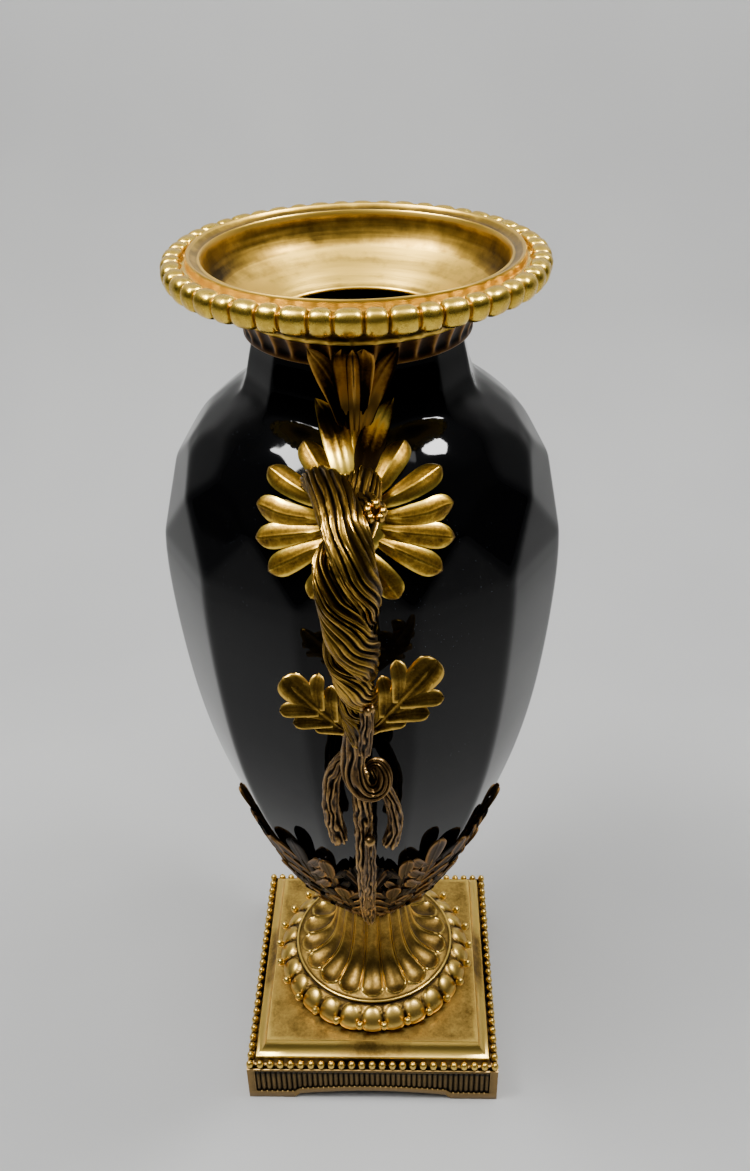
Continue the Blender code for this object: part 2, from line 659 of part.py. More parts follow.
def on_shoulder(across, up, lift):
    """A point on the front of the porcelain: sideways and up the slope from the rosette's middle, lifted off it."""
    height = ROSETTE_HEIGHT + up * slope_share(up)
    azimuth = 0.0
    for _ in range(3):
        radius = body_radius(azimuth, height)
        azimuth = math.degrees(math.atan2(across, radius))
    radius = body_radius(azimuth, height)
    lower = polar(body_radius(azimuth, height - 1 * MM), azimuth, height - 1 * MM)
    upper = polar(body_radius(azimuth, height + 1 * MM), azimuth, height + 1 * MM)
    rise = (upper - lower).normalized()
    sideways = polar(1.0, azimuth + 90.0, 0)
    outward = rise.cross(sideways)
    if outward.y > 0:
        outward = -outward
    return polar(radius, azimuth, height) + outward.normalized() * lift


def slope_share(up):
    """How much height one step up the surface gains: the shoulder leans more above the rosette than below."""
    return 0.80 if up > 0 else 0.90


def petal_directions():
    """Directions round the rosette in degrees from straight up, four to a petal: gap, edge, middle, edge."""
    middles = [PETAL_FIRST + PETAL_STEP * k for k in range(PETALS_PER_SIDE)]
    middles += [180.0] + [360.0 - m for m in reversed(middles)]
    marks = [(0.0, 0.0, 0.34), (16.0, 0.0, 0.34)]
    for before, middle, after in zip([12.0] + middles, middles, middles[1:] + [348.0]):
        marks.append(((before + middle) / 2, 0.0, 0.52))
        marks.append((middle - PETAL_STEP * 0.27, 0.6, 0.93))
        marks.append((middle, 1.0, 1.0))
        marks.append((middle + PETAL_STEP * 0.27, 0.6, 0.93))
    marks.append(((middles[-1] + 348.0) / 2, 0.0, 0.52))
    marks.append((344.0, 0.0, 0.34))
    return marks


def rosette(collection):
    """Petals round a boss, as one plate on the shoulder: scalloped outline and a raised rib along each petal."""
    marks = petal_directions()
    shape = bmesh.new()
    loops = []
    for share, thick in ((0.34, 1.0), (0.78, 1.25), (1.0, 0.5)):
        ring = []
        for direction, crest, edge in marks:
            angle = math.radians(direction)
            reach = PETAL_REACH * min(share * (1.0 if share < 0.5 else 1.04), edge * (0.92 if share < 0.9 else 1.0))
            if share > 0.9:
                reach = PETAL_REACH * edge
            lift = ROSETTE_CLEARANCE + ROSETTE_THICKNESS * thick + (0.9 * crest - 0.5) * MM
            ring.append(shape.verts.new(on_shoulder(reach * math.sin(angle), reach * math.cos(angle), lift)))
        loops.append(ring)
    under = []
    for direction, _, edge in marks:
        angle = math.radians(direction)
        reach = PETAL_REACH * edge
        under.append(shape.verts.new(on_shoulder(reach * math.sin(angle), reach * math.cos(angle), -SUNK)))
    for low, high in zip(loops, loops[1:] + [under]):
        bridge(shape, low, high)
    boss = shape.verts.new(on_shoulder(0.0, 0.0, ROSETTE_CLEARANCE + ROSETTE_THICKNESS * 2.2))
    for i in range(len(marks)):
        shape.faces.new((loops[0][i], loops[0][(i + 1) % len(marks)], boss))
    shape.faces.new(under)
    bmesh.ops.triangulate(shape, faces=[f for f in shape.faces if len(f.verts) > 4])
    return piece("rosette", shape, collection, None)


def collar_radius(height):
    """Outside radius of the collar and of the rim's flare above it, or nothing well under the collar."""
    line = [(COLLAR_BOTTOM - 6 * MM, 0.0), (COLLAR_BOTTOM - 4 * MM, NECK_TOP_RADIUS), (COLLAR_BOTTOM, COLLAR_LOW_RADIUS),
            (COLLAR_BOTTOM + 6.5 * MM, COLLAR_LOW_RADIUS + 1.4 * MM), (COLLAR_TOP, COLLAR_HIGH_RADIUS),
            (FLARE_TOP, FLARE_RADIUS)]
    for (z0, r0), (z1, r1) in zip(line, line[1:]):
        if z0 <= height <= z1:
            return r0 + (r1 - r0) * (height - z0) / (z1 - z0)
    return 0.0


def collar_former(clearance, collection):
    """Solid of the collar's and the flare's outside, that much bigger."""
    levels = [COLLAR_BOTTOM - clearance, COLLAR_BOTTOM + 6.5 * MM, COLLAR_TOP, FLARE_TOP]
    rings = []
    for height in levels:
        radius = (collar_radius(max(height, COLLAR_BOTTOM)) + clearance) / math.cos(math.pi / 48)
        rings.append([polar(radius, 7.5 * k, height) for k in range(48)])
    return piece("collar_former", loft(rings), collection, None)


def neck_leaf(collection):
    """The tall leaf above the rosette: two tiers of lobes up the shoulder and the neck to the collar."""
    outline = [(0.0, 6.0), (9.0, 8.5), (22.0, 20.0), (26.0, 8.5), (38.0, 11.0), (48.0, 17.0), (54.0, 21.5),
               (58.0, 20.0)]
    shape = bmesh.new()
    rows = []
    for up, half in outline:
        height_low = ROSETTE_HEIGHT + 6 * MM
        height = min(height_low + (NECK_LEAF_TOP - height_low) * up / outline[-1][0], NECK_LEAF_TOP)
        row = []
        for side, lift in ((-1, 0.9), (-0.45, 1.5), (0, 2.6), (0.45, 1.5), (1, 0.9)):
            azimuth = math.degrees(half * MM * side / body_radius(0, height))
            radius = max(body_radius(azimuth, height), collar_radius(height))
            row.append((azimuth, radius, height, lift))
        rows.append(row)
    tops = [[shape.verts.new(polar(r + ROSETTE_CLEARANCE + lift * MM + 0.6 * MM, a, z + 0.8 * MM))
             for a, r, z, lift in row] for row in rows]
    backs = [[shape.verts.new(polar(row[k][1] - SUNK, row[k][0], row[k][2])) for k in (0, 2, 4)] for row in rows]
    for i in range(len(rows) - 1):
        for k in range(4):
            shape.faces.new((tops[i][k], tops[i][k + 1], tops[i + 1][k + 1], tops[i + 1][k]))
        for k in range(2):
            shape.faces.new((backs[i][k], backs[i][k + 1], backs[i + 1][k + 1], backs[i + 1][k]))
        shape.faces.new((tops[i][0], backs[i][0], backs[i + 1][0], tops[i + 1][0]))
        shape.faces.new((tops[i][4], backs[i][2], backs[i + 1][2], tops[i + 1][4]))
    for i in (0, len(rows) - 1):
        shape.faces.new(tops[i] + backs[i][::-1])
    return piece("neck_leaf", shape, collection, None)


def palmette_front(collection, finish):
    """Rosette and neck leaf in one, fitted to the porcelain and bored for the two branches of the handle."""
    whole = join_all("palmette_front", [rosette(collection), neck_leaf(collection)], collection, finish)
    combine(whole, body_former(ROSETTE_CLEARANCE, collection), "DIFFERENCE")
    combine(whole, collar_former(ROSETTE_CLEARANCE, collection), "DIFFERENCE")
    for points, radii in strand_lines():
        inward = (points[0] - points[1]).normalized() * 9 * MM
        line = [points[0] + inward] + points[:4]
        combine(whole, tube("socket", line, [radii[0] + GAP] * 5, collection), "DIFFERENCE")
    return tidied(whole)


# Handle

def placed(points):
    """Handle points, given in millimetres as sideways, out from the axis and up, in the part's frame."""
    return [Vector((x * MM, -d * MM, z * MM)) for x, d, z in points]


def strand_lines():
    """Points and radii of the two branches of the arch, wound round each other along the handle's middle line."""
    line = placed(HANDLE_LINE)
    strands = []
    for which in (0, 1):
        points = []
        for i, middle in enumerate(line):
            along = (line[min(i + 1, len(line) - 1)] - line[max(i - 1, 0)]).normalized()
            side = Vector((1, 0, 0))
            across = along.cross(side).normalized()
            turn = math.radians(STRAND_TURNS[i] + 180 * which)
            points.append(middle + (math.cos(turn) * side + math.sin(turn) * across) * (STRAND_SPREADS[i] * MM))
        strands.append((points, [radius * MM for radius in STRAND_RADII]))
    return strands


def tapered(name, points, start, end, steps, collection):
    line = smooth_line(placed(points), steps)
    radii = [start + (end - start) * i / (len(line) - 1) for i in range(len(line))]
    return tube(name, line, radii, collection)


def lobed_leaf(points, collection):
    """One leaf of the pair: a lobed blade along its rib, thickest at the rib."""
    line = smooth_line(placed(points), 3)
    widths = [3.5, 7.5, 12.0, 12.5, 12.5, 10.5, 4.5]
    shape = bmesh.new()
    rings = []
    for i, middle in enumerate(line):
        along = (line[min(i + 1, len(line) - 1)] - line[max(i - 1, 0)]).normalized()
        front = Vector((0, -1, 0.35)).normalized()
        side = along.cross(front).normalized()
        face = side.cross(along).normalized()
        half = widths[i] * MM
        rings.append([middle + side * half, middle + face * 1.9 * MM, middle - side * half,
                      middle - face * 1.4 * MM])
    loops = [[shape.verts.new(p) for p in ring] for ring in rings]
    for low, high in zip(loops, loops[1:]):
        for k in range(4):
            j = (k + 1) % 4
            shape.faces.new((low[k], low[j], high[j], high[k]))
    shape.faces.new(loops[0])
    shape.faces.new(loops[-1])
    return piece("leaf", shape, collection, None)


def handle_front(collection, finish):
    parts = [tube("strand", points, radii, collection) for points, radii in strand_lines()]
    parts.append(tube("trunk", placed(TRUNK_LINE), [radius * MM for radius in TRUNK_RADII], collection))
    parts.append(tapered("stem", STEM_LINE, 6.2 * MM, 5.6 * MM, 1, collection))
    parts.append(tapered("left_root", LEFT_ROOT, 5.2 * MM, 6.8 * MM, 1, collection))
    parts.append(tapered("right_root", RIGHT_ROOT, 5.2 * MM, 6.8 * MM, 1, collection))
    parts.append(tapered("bud_twig", BUD_TWIG, 3.8 * MM, 4.4 * MM, 1, collection))
    for start, end in TWIGS:
        parts.append(tapered("twig", [start, end], 5.4 * MM, 5.2 * MM, 1, collection))
    for points in LEAF_LINES:
        parts.append(lobed_leaf(points, collection))
    return join_all("handle_front", parts, collection, finish)


def main():
    for old in list(bpy.data.objects):
        bpy.data.objects.remove(old)
    collection = bpy.data.collections.new("faceted_vase")
    bpy.context.scene.collection.children.link(collection)
    porcelain = material("black glazed porcelain", (0.004, 0.004, 0.005), 0.06, 0.0)
    gilt = material("polished gilt brass", (0.55, 0.36, 0.10), 0.28, 1.0)
    bronze = material("brown patinated bronze", (0.16, 0.10, 0.05), 0.45, 1.0)
    vine = material("antiqued brass vine", (0.30, 0.20, 0.07), 0.40, 1.0)
    copper = material("coppery collar brass", (0.30, 0.16, 0.06), 0.40, 1.0)

    plinth(collection, gilt)
    foot(collection, gilt)
    leaf_cup(collection, bronze)
    vase_body(collection, porcelain)
    neck_collar(collection, copper)
    mouth_rim(collection, gilt)
    palmette = palmette_front(collection, gilt)
    mirrored_to_back(palmette, "palmette_back", collection)
    handle = handle_front(collection, vine)
    mirrored_to_back(handle, "handle_back", collection)


main()
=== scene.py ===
"""Black faceted porcelain vase in gilt-brass mounts: its surfaces, their finishes, the light and the camera.

Metres, +Z up, the same frame as the solids. Azimuth 0 faces -Y, towards the front handle, and azimuth 90
faces +X.
"""

import math

import bmesh
import bpy
import numpy as np
from mathutils import Matrix, Vector, noise

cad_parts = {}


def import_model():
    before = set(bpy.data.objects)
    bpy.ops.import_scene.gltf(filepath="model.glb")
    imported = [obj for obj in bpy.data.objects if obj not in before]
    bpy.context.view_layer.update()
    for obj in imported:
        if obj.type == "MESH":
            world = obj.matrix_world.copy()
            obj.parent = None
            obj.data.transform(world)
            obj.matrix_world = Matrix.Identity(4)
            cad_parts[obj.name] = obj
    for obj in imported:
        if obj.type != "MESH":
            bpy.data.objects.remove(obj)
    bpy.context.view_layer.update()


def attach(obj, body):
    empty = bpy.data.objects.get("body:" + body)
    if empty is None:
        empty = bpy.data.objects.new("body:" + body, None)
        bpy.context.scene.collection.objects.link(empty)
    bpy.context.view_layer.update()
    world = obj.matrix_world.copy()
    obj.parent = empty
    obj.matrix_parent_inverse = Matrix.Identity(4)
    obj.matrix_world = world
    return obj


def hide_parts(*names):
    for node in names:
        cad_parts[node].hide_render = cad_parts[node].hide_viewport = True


MM = 0.001

# Porcelain, (height, radius) in millimetres up the twelve ridges, then the facet corners of the shoulder
PANELS = 12
PANEL_STEP = 360.0 / PANELS
RIDGE_LINE = [(141.0, 36.0), (160.0, 49.5), (190.0, 65.5), (225.0, 80.0), (262.0, 92.6), (300.0, 102.7),
              (340.0, 109.8), (385.0, 114.6), (425.0, 116.8), (447.5, 116.0)]
DIAMOND_SIDE = (482.0, 106.5)
DIAMOND_TOP = (503.0, 95.3)
SHOULDER_POINT = (518.5, 80.0)
NECK_LINE = [(526.5, 65.8), (536.0, 62.4), (546.0, 60.2), (554.0, 58.2), (560.5, 57.0)]
NECK_INSIDE = [(560.5, 51.8), (527.0, 57.0), (519.5, 68.0), (503.0, 84.0), (478.0, 98.0), (440.0, 108.0),
               (380.0, 107.0), (310.0, 97.0), (250.0, 80.0), (200.0, 60.0), (165.0, 42.0), (149.0, 30.0)]
COLUMNS_PER_PANEL = 40
HEIGHTS = ([141.0 + 4.0 * k for k in range(74)] + [437.0 + 1.3 * k for k in range(76)]
           + [536.0 + 2.5 * k for k in range(7)] + [554.0, 557.0, 560.5])

# Softening of the glaze, in passes over the grid: along all ridges, and at the rounder points where facets
# meet, which are (corner, azimuth of the first, reach in millimetres)
RIDGE_PASSES = 5
POINT_PASSES = 34
SOFT_POINTS = [(SHOULDER_POINT, 0.0, 11.0), (DIAMOND_TOP, PANEL_STEP / 2, 8.0)]
SOFT_POINT_SQUASH = 1.4


def polar(radius, azimuth, height):
    """A point from its radius, its azimuth in degrees and its height."""
    angle = math.radians(azimuth)
    return Vector((radius * math.sin(angle), -radius * math.cos(angle), height))


def smooth_line(points, steps):
    """Catmull-Rom points through the given ones, with so many steps between each two."""
    points = [Vector(p) for p in points]
    ends = [2 * points[0] - points[1]] + points + [2 * points[-1] - points[-2]]
    line = []
    for i in range(1, len(ends) - 2):
        a, b, c, d = ends[i - 1:i + 3]
        for k in range(steps):
            t = k / steps
            line.append(0.5 * (2 * b + (c - a) * t + (2 * a - 5 * b + 4 * c - d) * t ** 2
                               + (3 * b - a - 3 * c + d) * t ** 3))
    return line + [points[-1]]


def between(table, x):
    """Straight-line reading of a table of (x, value) pairs."""
    return float(np.interp(x, [row[0] for row in table], [row[1] for row in table]))


# Meshes

def skin(rows, around=True, start=False, end=False):
    """Points and faces over rows of points, joined round each row unless it is open."""
    width = len(rows[0])
    points = [p for row in rows for p in row]
    faces = []
    for i in range(len(rows) - 1):
        for k in range(width if around else width - 1):
            j = (k + 1) % width
            faces.append((i * width + k, i * width + j, (i + 1) * width + j, (i + 1) * width + k))
    if start:
        faces.append(tuple(reversed(range(width))))
    if end:
        faces.append(tuple((len(rows) - 1) * width + k for k in range(width)))
    return points, faces


def turned_line(profile, steps):
    """A smooth outline from (radius, height) pairs: y is a radius and z a height, in millimetres."""
    return smooth_line([(0, radius, height) for radius, height in profile], steps)


def off_line(line):
    """Each point of a turned outline, its share of the way along and the direction straight off it."""
    last = len(line) - 1
    for i, spot in enumerate(line):
        along = (line[min(i + 1, last)] - line[max(i - 1, 0)]).normalized()
        yield spot, i / last, Vector((0, along.z, -along.y))


def moved_off(spot, out, lift, azimuth):
    """A point of a turned outline brought round to an azimuth, and lifted off the outline in millimetres."""
    return polar((spot.y + out.y * lift) * MM, azimuth, (spot.z + out.z * lift) * MM)


def rings(profile, azimuths):
    """Level rings of points from (radius, height) pairs in millimetres."""
    return [[polar(radius * MM, azimuth, height * MM) for azimuth in azimuths] for radius, height in profile]


def evenly_round(count, shift=0.0):
    """So many azimuths, evenly spaced round the vase."""
    return [360.0 * (k + shift) / count for k in range(count)]


def place_across(azimuth, count, shift=0.0):
    """Place across one of so many equal repeats round the vase, from -1 to 1."""
    return 2.0 * ((azimuth / 360.0 * count + shift) % 1.0) - 1.0


def relief_tone(mesh, passes, spread):
    """Keeps on each point how far it stands out from its surroundings, towards 1, or lies in a hollow."""
    count = len(mesh.vertices)
    place = np.empty(count * 3)
    facing = np.empty(count * 3)
    ends = np.empty(len(mesh.edges) * 2, dtype=np.int64)
    mesh.vertices.foreach_get("co", place)
    mesh.vertices.foreach_get("normal", facing)
    mesh.edges.foreach_get("vertices", ends)
    place = place.reshape(-1, 3)
    facing = facing.reshape(-1, 3)
    one, other = ends[0::2], ends[1::2]
    degree = np.maximum(np.bincount(one, minlength=count) + np.bincount(other, minlength=count), 1)
    smooth = place.copy()
    for _ in range(passes):
        around = [np.bincount(one, smooth[other, axis], count) + np.bincount(other, smooth[one, axis], count)
                  for axis in range(3)]
        smooth = np.stack([total / degree for total in around], axis=1)
    height = ((place - smooth) * facing).sum(axis=1)
    tone = np.clip(0.5 + 0.5 * height / spread, 0.0, 1.0)
    mesh.attributes.new("crest", "FLOAT", "POINT").data.foreach_set("value", tone.astype(np.float32))


def piece(name, parts, finish, node, passes=6, spread=0.5 * MM, sharp=50.0):
    """One object from several meshes, smooth but for sharp edges, that stands for a solid of the frame."""
    points, faces = [], []
    for part_points, part_faces in parts:
        base = len(points)
        points += [tuple(p) for p in part_points]
        faces += [tuple(base + k for k in face) for face in part_faces]
    mesh = bpy.data.meshes.new(name)
    mesh.from_pydata(points, [], faces)
    tidy = bmesh.new()
    tidy.from_mesh(mesh)
    bmesh.ops.remove_doubles(tidy, verts=tidy.verts, dist=0.004 * MM)
    bmesh.ops.recalc_face_normals(tidy, faces=tidy.faces)
    tidy.to_mesh(mesh)
    tidy.free()
    mesh.polygons.foreach_set("use_smooth", [True] * len(mesh.polygons))
    mesh.set_sharp_from_angle(angle=math.radians(sharp))
    relief_tone(mesh, passes, spread)
    made = bpy.data.objects.new(name, mesh)
    bpy.context.scene.collection.objects.link(made)
    mesh.materials.append(finish)
    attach(made, "root")
    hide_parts(node)


def turned_to_back(parts):
    """The same meshes turned half round the axis."""
    return [([Vector((-p[0], -p[1], p[2])) for p in points], faces) for points, faces in parts]


def petal(spine, facing, width, root=0.35, peak=0.6, bulge=0.9, rib=0.5, edge=0.35, thick=1.3, steps=4,
          across=10,
          fold=0.0, cup=0.0, tip=(2.3, 0.5)):
    """One lobe of a leaf: a closed blade along a spine, two swelling halves, a fine rib and a raised edge."""
    line = smooth_line(spine, steps)
    facing = Vector(facing).normalized()
    rows = []
    for i, middle in enumerate(line):
        t = i / (len(line) - 1)
        if t < peak:
            share = root + (1.0 - root) * math.sin(0.5 * math.pi * t / peak)
        else:
            share = max(0.0, 1.0 - ((t - peak) / (1.0 - peak)) ** tip[0]) ** tip[1]
        half = max(0.5 * width * share, 0.12 * MM)
        along = (line[min(i + 1, len(line) - 1)] - line[max(i - 1, 0)]).normalized()
        side = along.cross(facing).normalized()
        out = side.cross(along).normalized()
        grow = min(1.0, 1.6 * share)
        row = []
        for k in range(across + 1):
            u = 2.0 * k / across - 1.0
            lift = bulge * abs(math.sin(math.pi * abs(u))) ** 0.8 + rib * math.exp(-(u / 0.13) ** 2)
            lift += edge * math.exp(-((abs(u) - 0.93) / 0.09) ** 2) + fold * (1.0 - abs(u)) + cup * u * u
            row.append(middle + side * (half * u) + out * (lift * grow * MM))
        for u in (0.86, 0.0, -0.86):
            sink = cup * u * u * grow - thick * min(1.0, share * 2)
            row.append(middle + side * (half * u) + out * (sink * MM))
        rows.append(row)
    return skin(rows, start=True, end=True)


def flowing_bark(ridges, depth, stretch, twist):
    """Long ridges of uneven width that run along a limb and flow round each other, with finer lines."""
    def height(angle, length, seed):
        spot = Vector((math.cos(angle) * 1.2 + seed, math.sin(angle) * 1.2, length / stretch))
        flow = 1.7 * noise.noise(spot) + 0.6 * noise.noise(spot * 2.1)
        phase = ridges * (angle + twist * length) + 2.6 * flow
        groove = (0.5 + 0.5 * math.cos(phase)) ** 2.2
        fine = (0.5 + 0.5 * math.cos(2.0 * phase + 1.3 + 2.0 * noise.noise(spot * 3.1))) ** 2.0
        fold = noise.noise(spot * 1.1 + Vector((7.0, 3.0, 1.0)))
        return 1.0 + 0.13 * fold - depth * groove - 0.30 * depth * fine
    return height


def branch(line, radii, bark, around=40, steps=6, seed=0.0, ends=0.55, sides=None, flat=1.0):
    """A limb with its bark along a line, radii in millimetres; with sides it is a strap, wider by flat."""
    points = smooth_line(line, steps)
    sizes = [p.x for p in smooth_line([(r * MM, 0, 0) for r in radii], steps)]
    guides = smooth_line(sides, steps) if sides else None
    side = Vector((1.0, 0.0, 0.0))
    rows = []
    length = 0.0
    last = len(points) - 1
    for i, middle in enumerate(points):
        along = (points[min(i + 1, last)] - points[max(i - 1, 0)]).normalized()
        side = guides[i] if guides else side
        side = (side - along * side.dot(along)).normalized()
        up = along.cross(side)
        if i:
            length += (middle - points[i - 1]).length
        row = []
        for k in range(around):
            angle = 2.0 * math.pi * k / around
            reach = sizes[i] * bark(angle, length, seed)
            row.append(middle + side * (math.cos(angle) * reach * flat) + up * (math.sin(angle) * reach))
        rows.append(row)
    caps = []
    for end, step in ((0, -1), (last, 1)):
        along = (points[end] - points[end - step]).normalized()
        caps.append([[points[end] + along * (sizes[end] * ends * s) + (p - points[end]) * c for p in rows[end]]
                     for s, c in ((0.35, 0.86), (0.6, 0.55), (0.5, 0.2))])
    return skin(list(reversed(caps[0])) + rows + caps[1], start=True, end=True)


def bead(centre, radii, up, around=14, rows=8):
    """A small egg: radii across, along and up."""
    up = Vector(up).normalized()
    if abs(up.z) > 0.99:
        across, along = Vector((1, 0, 0)), Vector((0, 1, 0))
    else:
        across = Vector((0, 0, 1)).cross(up).normalized()
        along = up.cross(across)
    levels = []
    for i in range(rows + 1):
        tilt = math.pi * (0.02 + 0.96 * i / rows) - math.pi / 2
        levels.append([centre + across * (radii[0] * math.cos(tilt) * math.cos(2 * math.pi * k / around))
                       + along * (radii[1] * math.cos(tilt) * math.sin(2 * math.pi * k / around))
                       + up * (radii[2] * math.sin(tilt)) for k in range(around)])
    return skin(levels, start=True, end=True)


# Porcelain

def body_rings():
    """Rings of the porcelain's outside: (radius, height, half step)."""
    rings = [(p.y, p.z, False) for p in smooth_line([(0, r * MM, z * MM) for z, r in RIDGE_LINE], 2)]
    for (height, radius), half in ((DIAMOND_SIDE, True), (DIAMOND_TOP, False), (SHOULDER_POINT, True)):
        rings.append((radius * MM, height * MM, half))
    return rings + [(r * MM, z * MM, False) for z, r in NECK_LINE]


BODY_RINGS = body_rings()


def ring_azimuths(half_step):
    """Azimuths of a ring's corners: on the twelve ridges, or midway between them."""
    return [PANEL_STEP * (i + (0.0 if half_step else 0.5)) for i in range(PANELS)]


def body_radius(azimuth, height):
    """Radius of the porcelain's outside at an azimuth and a height."""
    height = min(max(height, BODY_RINGS[0][1]), BODY_RINGS[-1][1])
    for (r0, z0, half0), (r1, z1, half1) in zip(BODY_RINGS, BODY_RINGS[1:]):
        if z0 <= height <= z1:
            break
    t = (height - z0) / (z1 - z0)
    corners = []
    for a0 in ring_azimuths(half0):
        for a1 in [a0] if half0 == half1 else [a0 - PANEL_STEP / 2, a0 + PANEL_STEP / 2]:
            point = polar(r0, a0, 0).lerp(polar(r1, a1, 0), t)
            corners.append((math.degrees(math.atan2(point.x, -point.y)) % 360.0, point))
    corners.sort(key=lambda corner: corner[0])
    ray = polar(1.0, azimuth, 0)
    for (_, p), (_, q) in zip(corners, corners[1:] + corners[:1]):
        side = q - p
        cross = ray.x * side.y - ray.y * side.x
        if abs(cross) < 1e-12:
            continue
        along = (p.x * side.y - p.y * side.x) / cross
        share = (p.x * ray.y - p.y * ray.x) / cross
        if along > 0 and -1e-6 <= share <= 1 + 1e-6:
            return along
    return r0


def on_body(azimuth, height, lift):
    """A point over the porcelain, lifted off it along the slope's normal."""
    step = 1.5 * MM
    here = polar(body_radius(azimuth, height), azimuth, height)
    rise = (polar(body_radius(azimuth, height + step), azimuth, height + step)
            - polar(body_radius(azimuth, height - step), azimuth, height - step)).normalized()
    out = rise.cross(polar(1.0, azimuth + 90.0, 0)).normalized()
    if out.dot(polar(1.0, azimuth, 0)) < 0:
        out = -out
    return here + out * lift


def on_glaze(azimuth, height, lift):
    """A point over the porcelain, with its height and its lift in millimetres."""
    return on_body(azimuth, height * MM, lift * MM)


def body_facing(azimuth, height):
    """Direction straight off the porcelain at an azimuth and a height."""
    return (on_body(azimuth, height, 1.0) - on_body(azimuth, height, 0.0)).normalized()


def softened(field, passes):
    """Blurs a field of radii a step each way so many times, round the vase and up it."""
    for _ in range(passes):
        field = 0.5 * field + 0.25 * (np.roll(field, 1, axis=1) + np.roll(field, -1, axis=1))
        padded = np.concatenate([field[:1], field, field[-1:]])
        field = 0.5 * padded[1:-1] + 0.25 * (padded[2:] + padded[:-2])
    return field


def vase_body(finish):
    """The porcelain as a fine grid: ridges as soft as thick glaze leaves them, softest where facets meet."""
    step = PANEL_STEP / COLUMNS_PER_PANEL
    panel = [[body_radius(step * k, height * MM) for k in range(COLUMNS_PER_PANEL)] for height in HEIGHTS]
    field = np.tile(np.array(panel), (1, PANELS))
    azimuths = step * np.arange(field.shape[1])
    share = np.zeros_like(field)
    for (height, radius), shift, size in SOFT_POINTS:
        across = np.radians((azimuths - shift + PANEL_STEP / 2) % PANEL_STEP - PANEL_STEP / 2) * radius
        up = (np.array(HEIGHTS) - height) * SOFT_POINT_SQUASH
        share = np.maximum(share, np.exp(-(across[None, :] ** 2 + up[:, None] ** 2) / size ** 2))
    field = softened(field, RIDGE_PASSES) * (1.0 - share) + softened(field, POINT_PASSES) * share
    rows = [[polar(radius, azimuth, height * MM) for azimuth, radius in zip(azimuths, line)]
            for height, line in zip(HEIGHTS, field)]
    rows += rings([(radius, height) for height, radius in NECK_INSIDE], azimuths)
    piece("porcelain_vase", [skin(rows, start=True, end=True)], finish, "vase_body", passes=1, sharp=60.0)


# Mouth rim and neck collar

LOBE_PAIRS = 24
WIDE_SHARE = 0.553
LOBE_DEPTH = 2.7
LOBED_PROFILE = [(93.0, 585.2), (95.8, 585.3), (98.4, 586.5), (100.1, 589.0), (100.9, 592.4), (100.6, 595.2),
                 (99.2, 597.4), (97.0, 598.6), (94.6, 598.9), (92.2, 598.4), (90.4, 597.4), (89.3, 596.2)]
LIP_PROFILE = [(88.6, 595.5), (88.0, 595.5), (87.6, 596.2), (87.45, 598.4), (87.3, 599.5), (86.9, 600.0),
               (86.2, 600.0), (85.7, 599.6), (85.2, 598.9), (83.6, 597.8), (81.9, 597.1), (81.1, 597.5),
               (80.5, 597.5),
               (80.0, 596.9), (79.6, 594.6), (78.7, 590.6), (77.2, 586.6), (75.2, 583.0), (72.8, 580.2),
               (71.6, 579.1), (70.9, 578.6), (68.0, 576.4), (62.0, 572.3), (56.0, 568.3), (51.5, 565.0),
               (49.4, 563.4), (48.6, 563.0), (47.8, 562.5), (47.5, 561.8), (47.7, 561.1), (48.8, 561.2),
               (52.5, 563.0), (57.0, 566.0),
               (61.4, 570.4), (65.2, 570.4)]
FLARE_PROFILE = [(65.4, 570.9), (66.8, 573.0), (68.8, 575.8), (71.6, 578.6), (75.2, 581.2), (79.6, 583.3),
                 (84.0, 584.8), (88.6, 585.7)]
RIM_SEAT = [(88.5, 595.4), (88.2, 590.0), (89.0, 586.0)]
LOBE_SAMPLES = [-1.0, -0.965, -0.93, -0.89, -0.82, -0.68, -0.48, -0.24, 0.0, 0.24, 0.48, 0.68, 0.82, 0.89,
                0.93, 0.965]


def lobe_height(u, share):
    """Height of a lobe over its valley, 0 to 1: a round back, a groove at its sides, a fine fillet."""
    end = min(1.0, max(0.0, (share - 0.80) / 0.20))
    start = min(1.0, max(0.0, (0.05 - share) / 0.05))
    away = math.sqrt(u * u + end * end * 0.98 + start * start * 0.25)
    if away < 0.935:
        return (1.0 - (away / 0.935) ** 3.2) ** 0.55
    reach = 0.035 if away < 1.0 else 0.2
    return 0.34 * math.exp(-((away - 1.0) / reach) ** 2)


def mouth_rim(finish):
    """The ring of broad and narrow lobes, and the hidden seat behind it."""
    pair = 360.0 / LOBE_PAIRS
    wide = pair * WIDE_SHARE
    stations = []
    for i in range(LOBE_PAIRS):
        for middle, width in ((i * pair, wide), (i * pair + pair / 2, pair - wide)):
            stations += [(middle + u * width / 2, u) for u in LOBE_SAMPLES]
    rows = []
    for spot, share, out in off_line(turned_line(LOBED_PROFILE, 3)):
        fade = min(1.0, 0.55 + share / 0.12)
        row = []
        for azimuth, u in stations:
            wear = 0.10 * noise.noise(Vector((azimuth * 0.21, share * 3.0, 1.7)))
            row.append(moved_off(spot, out, LOBE_DEPTH * fade * (lobe_height(u, share) - 1.0 + wear),
                                 azimuth))
        rows.append(row)
    rows += rings(RIM_SEAT, [azimuth for azimuth, _ in stations])
    piece("gadrooned_rim", [skin(rows + [rows[0]])], finish, "mouth_rim", passes=10, spread=1.7 * MM)


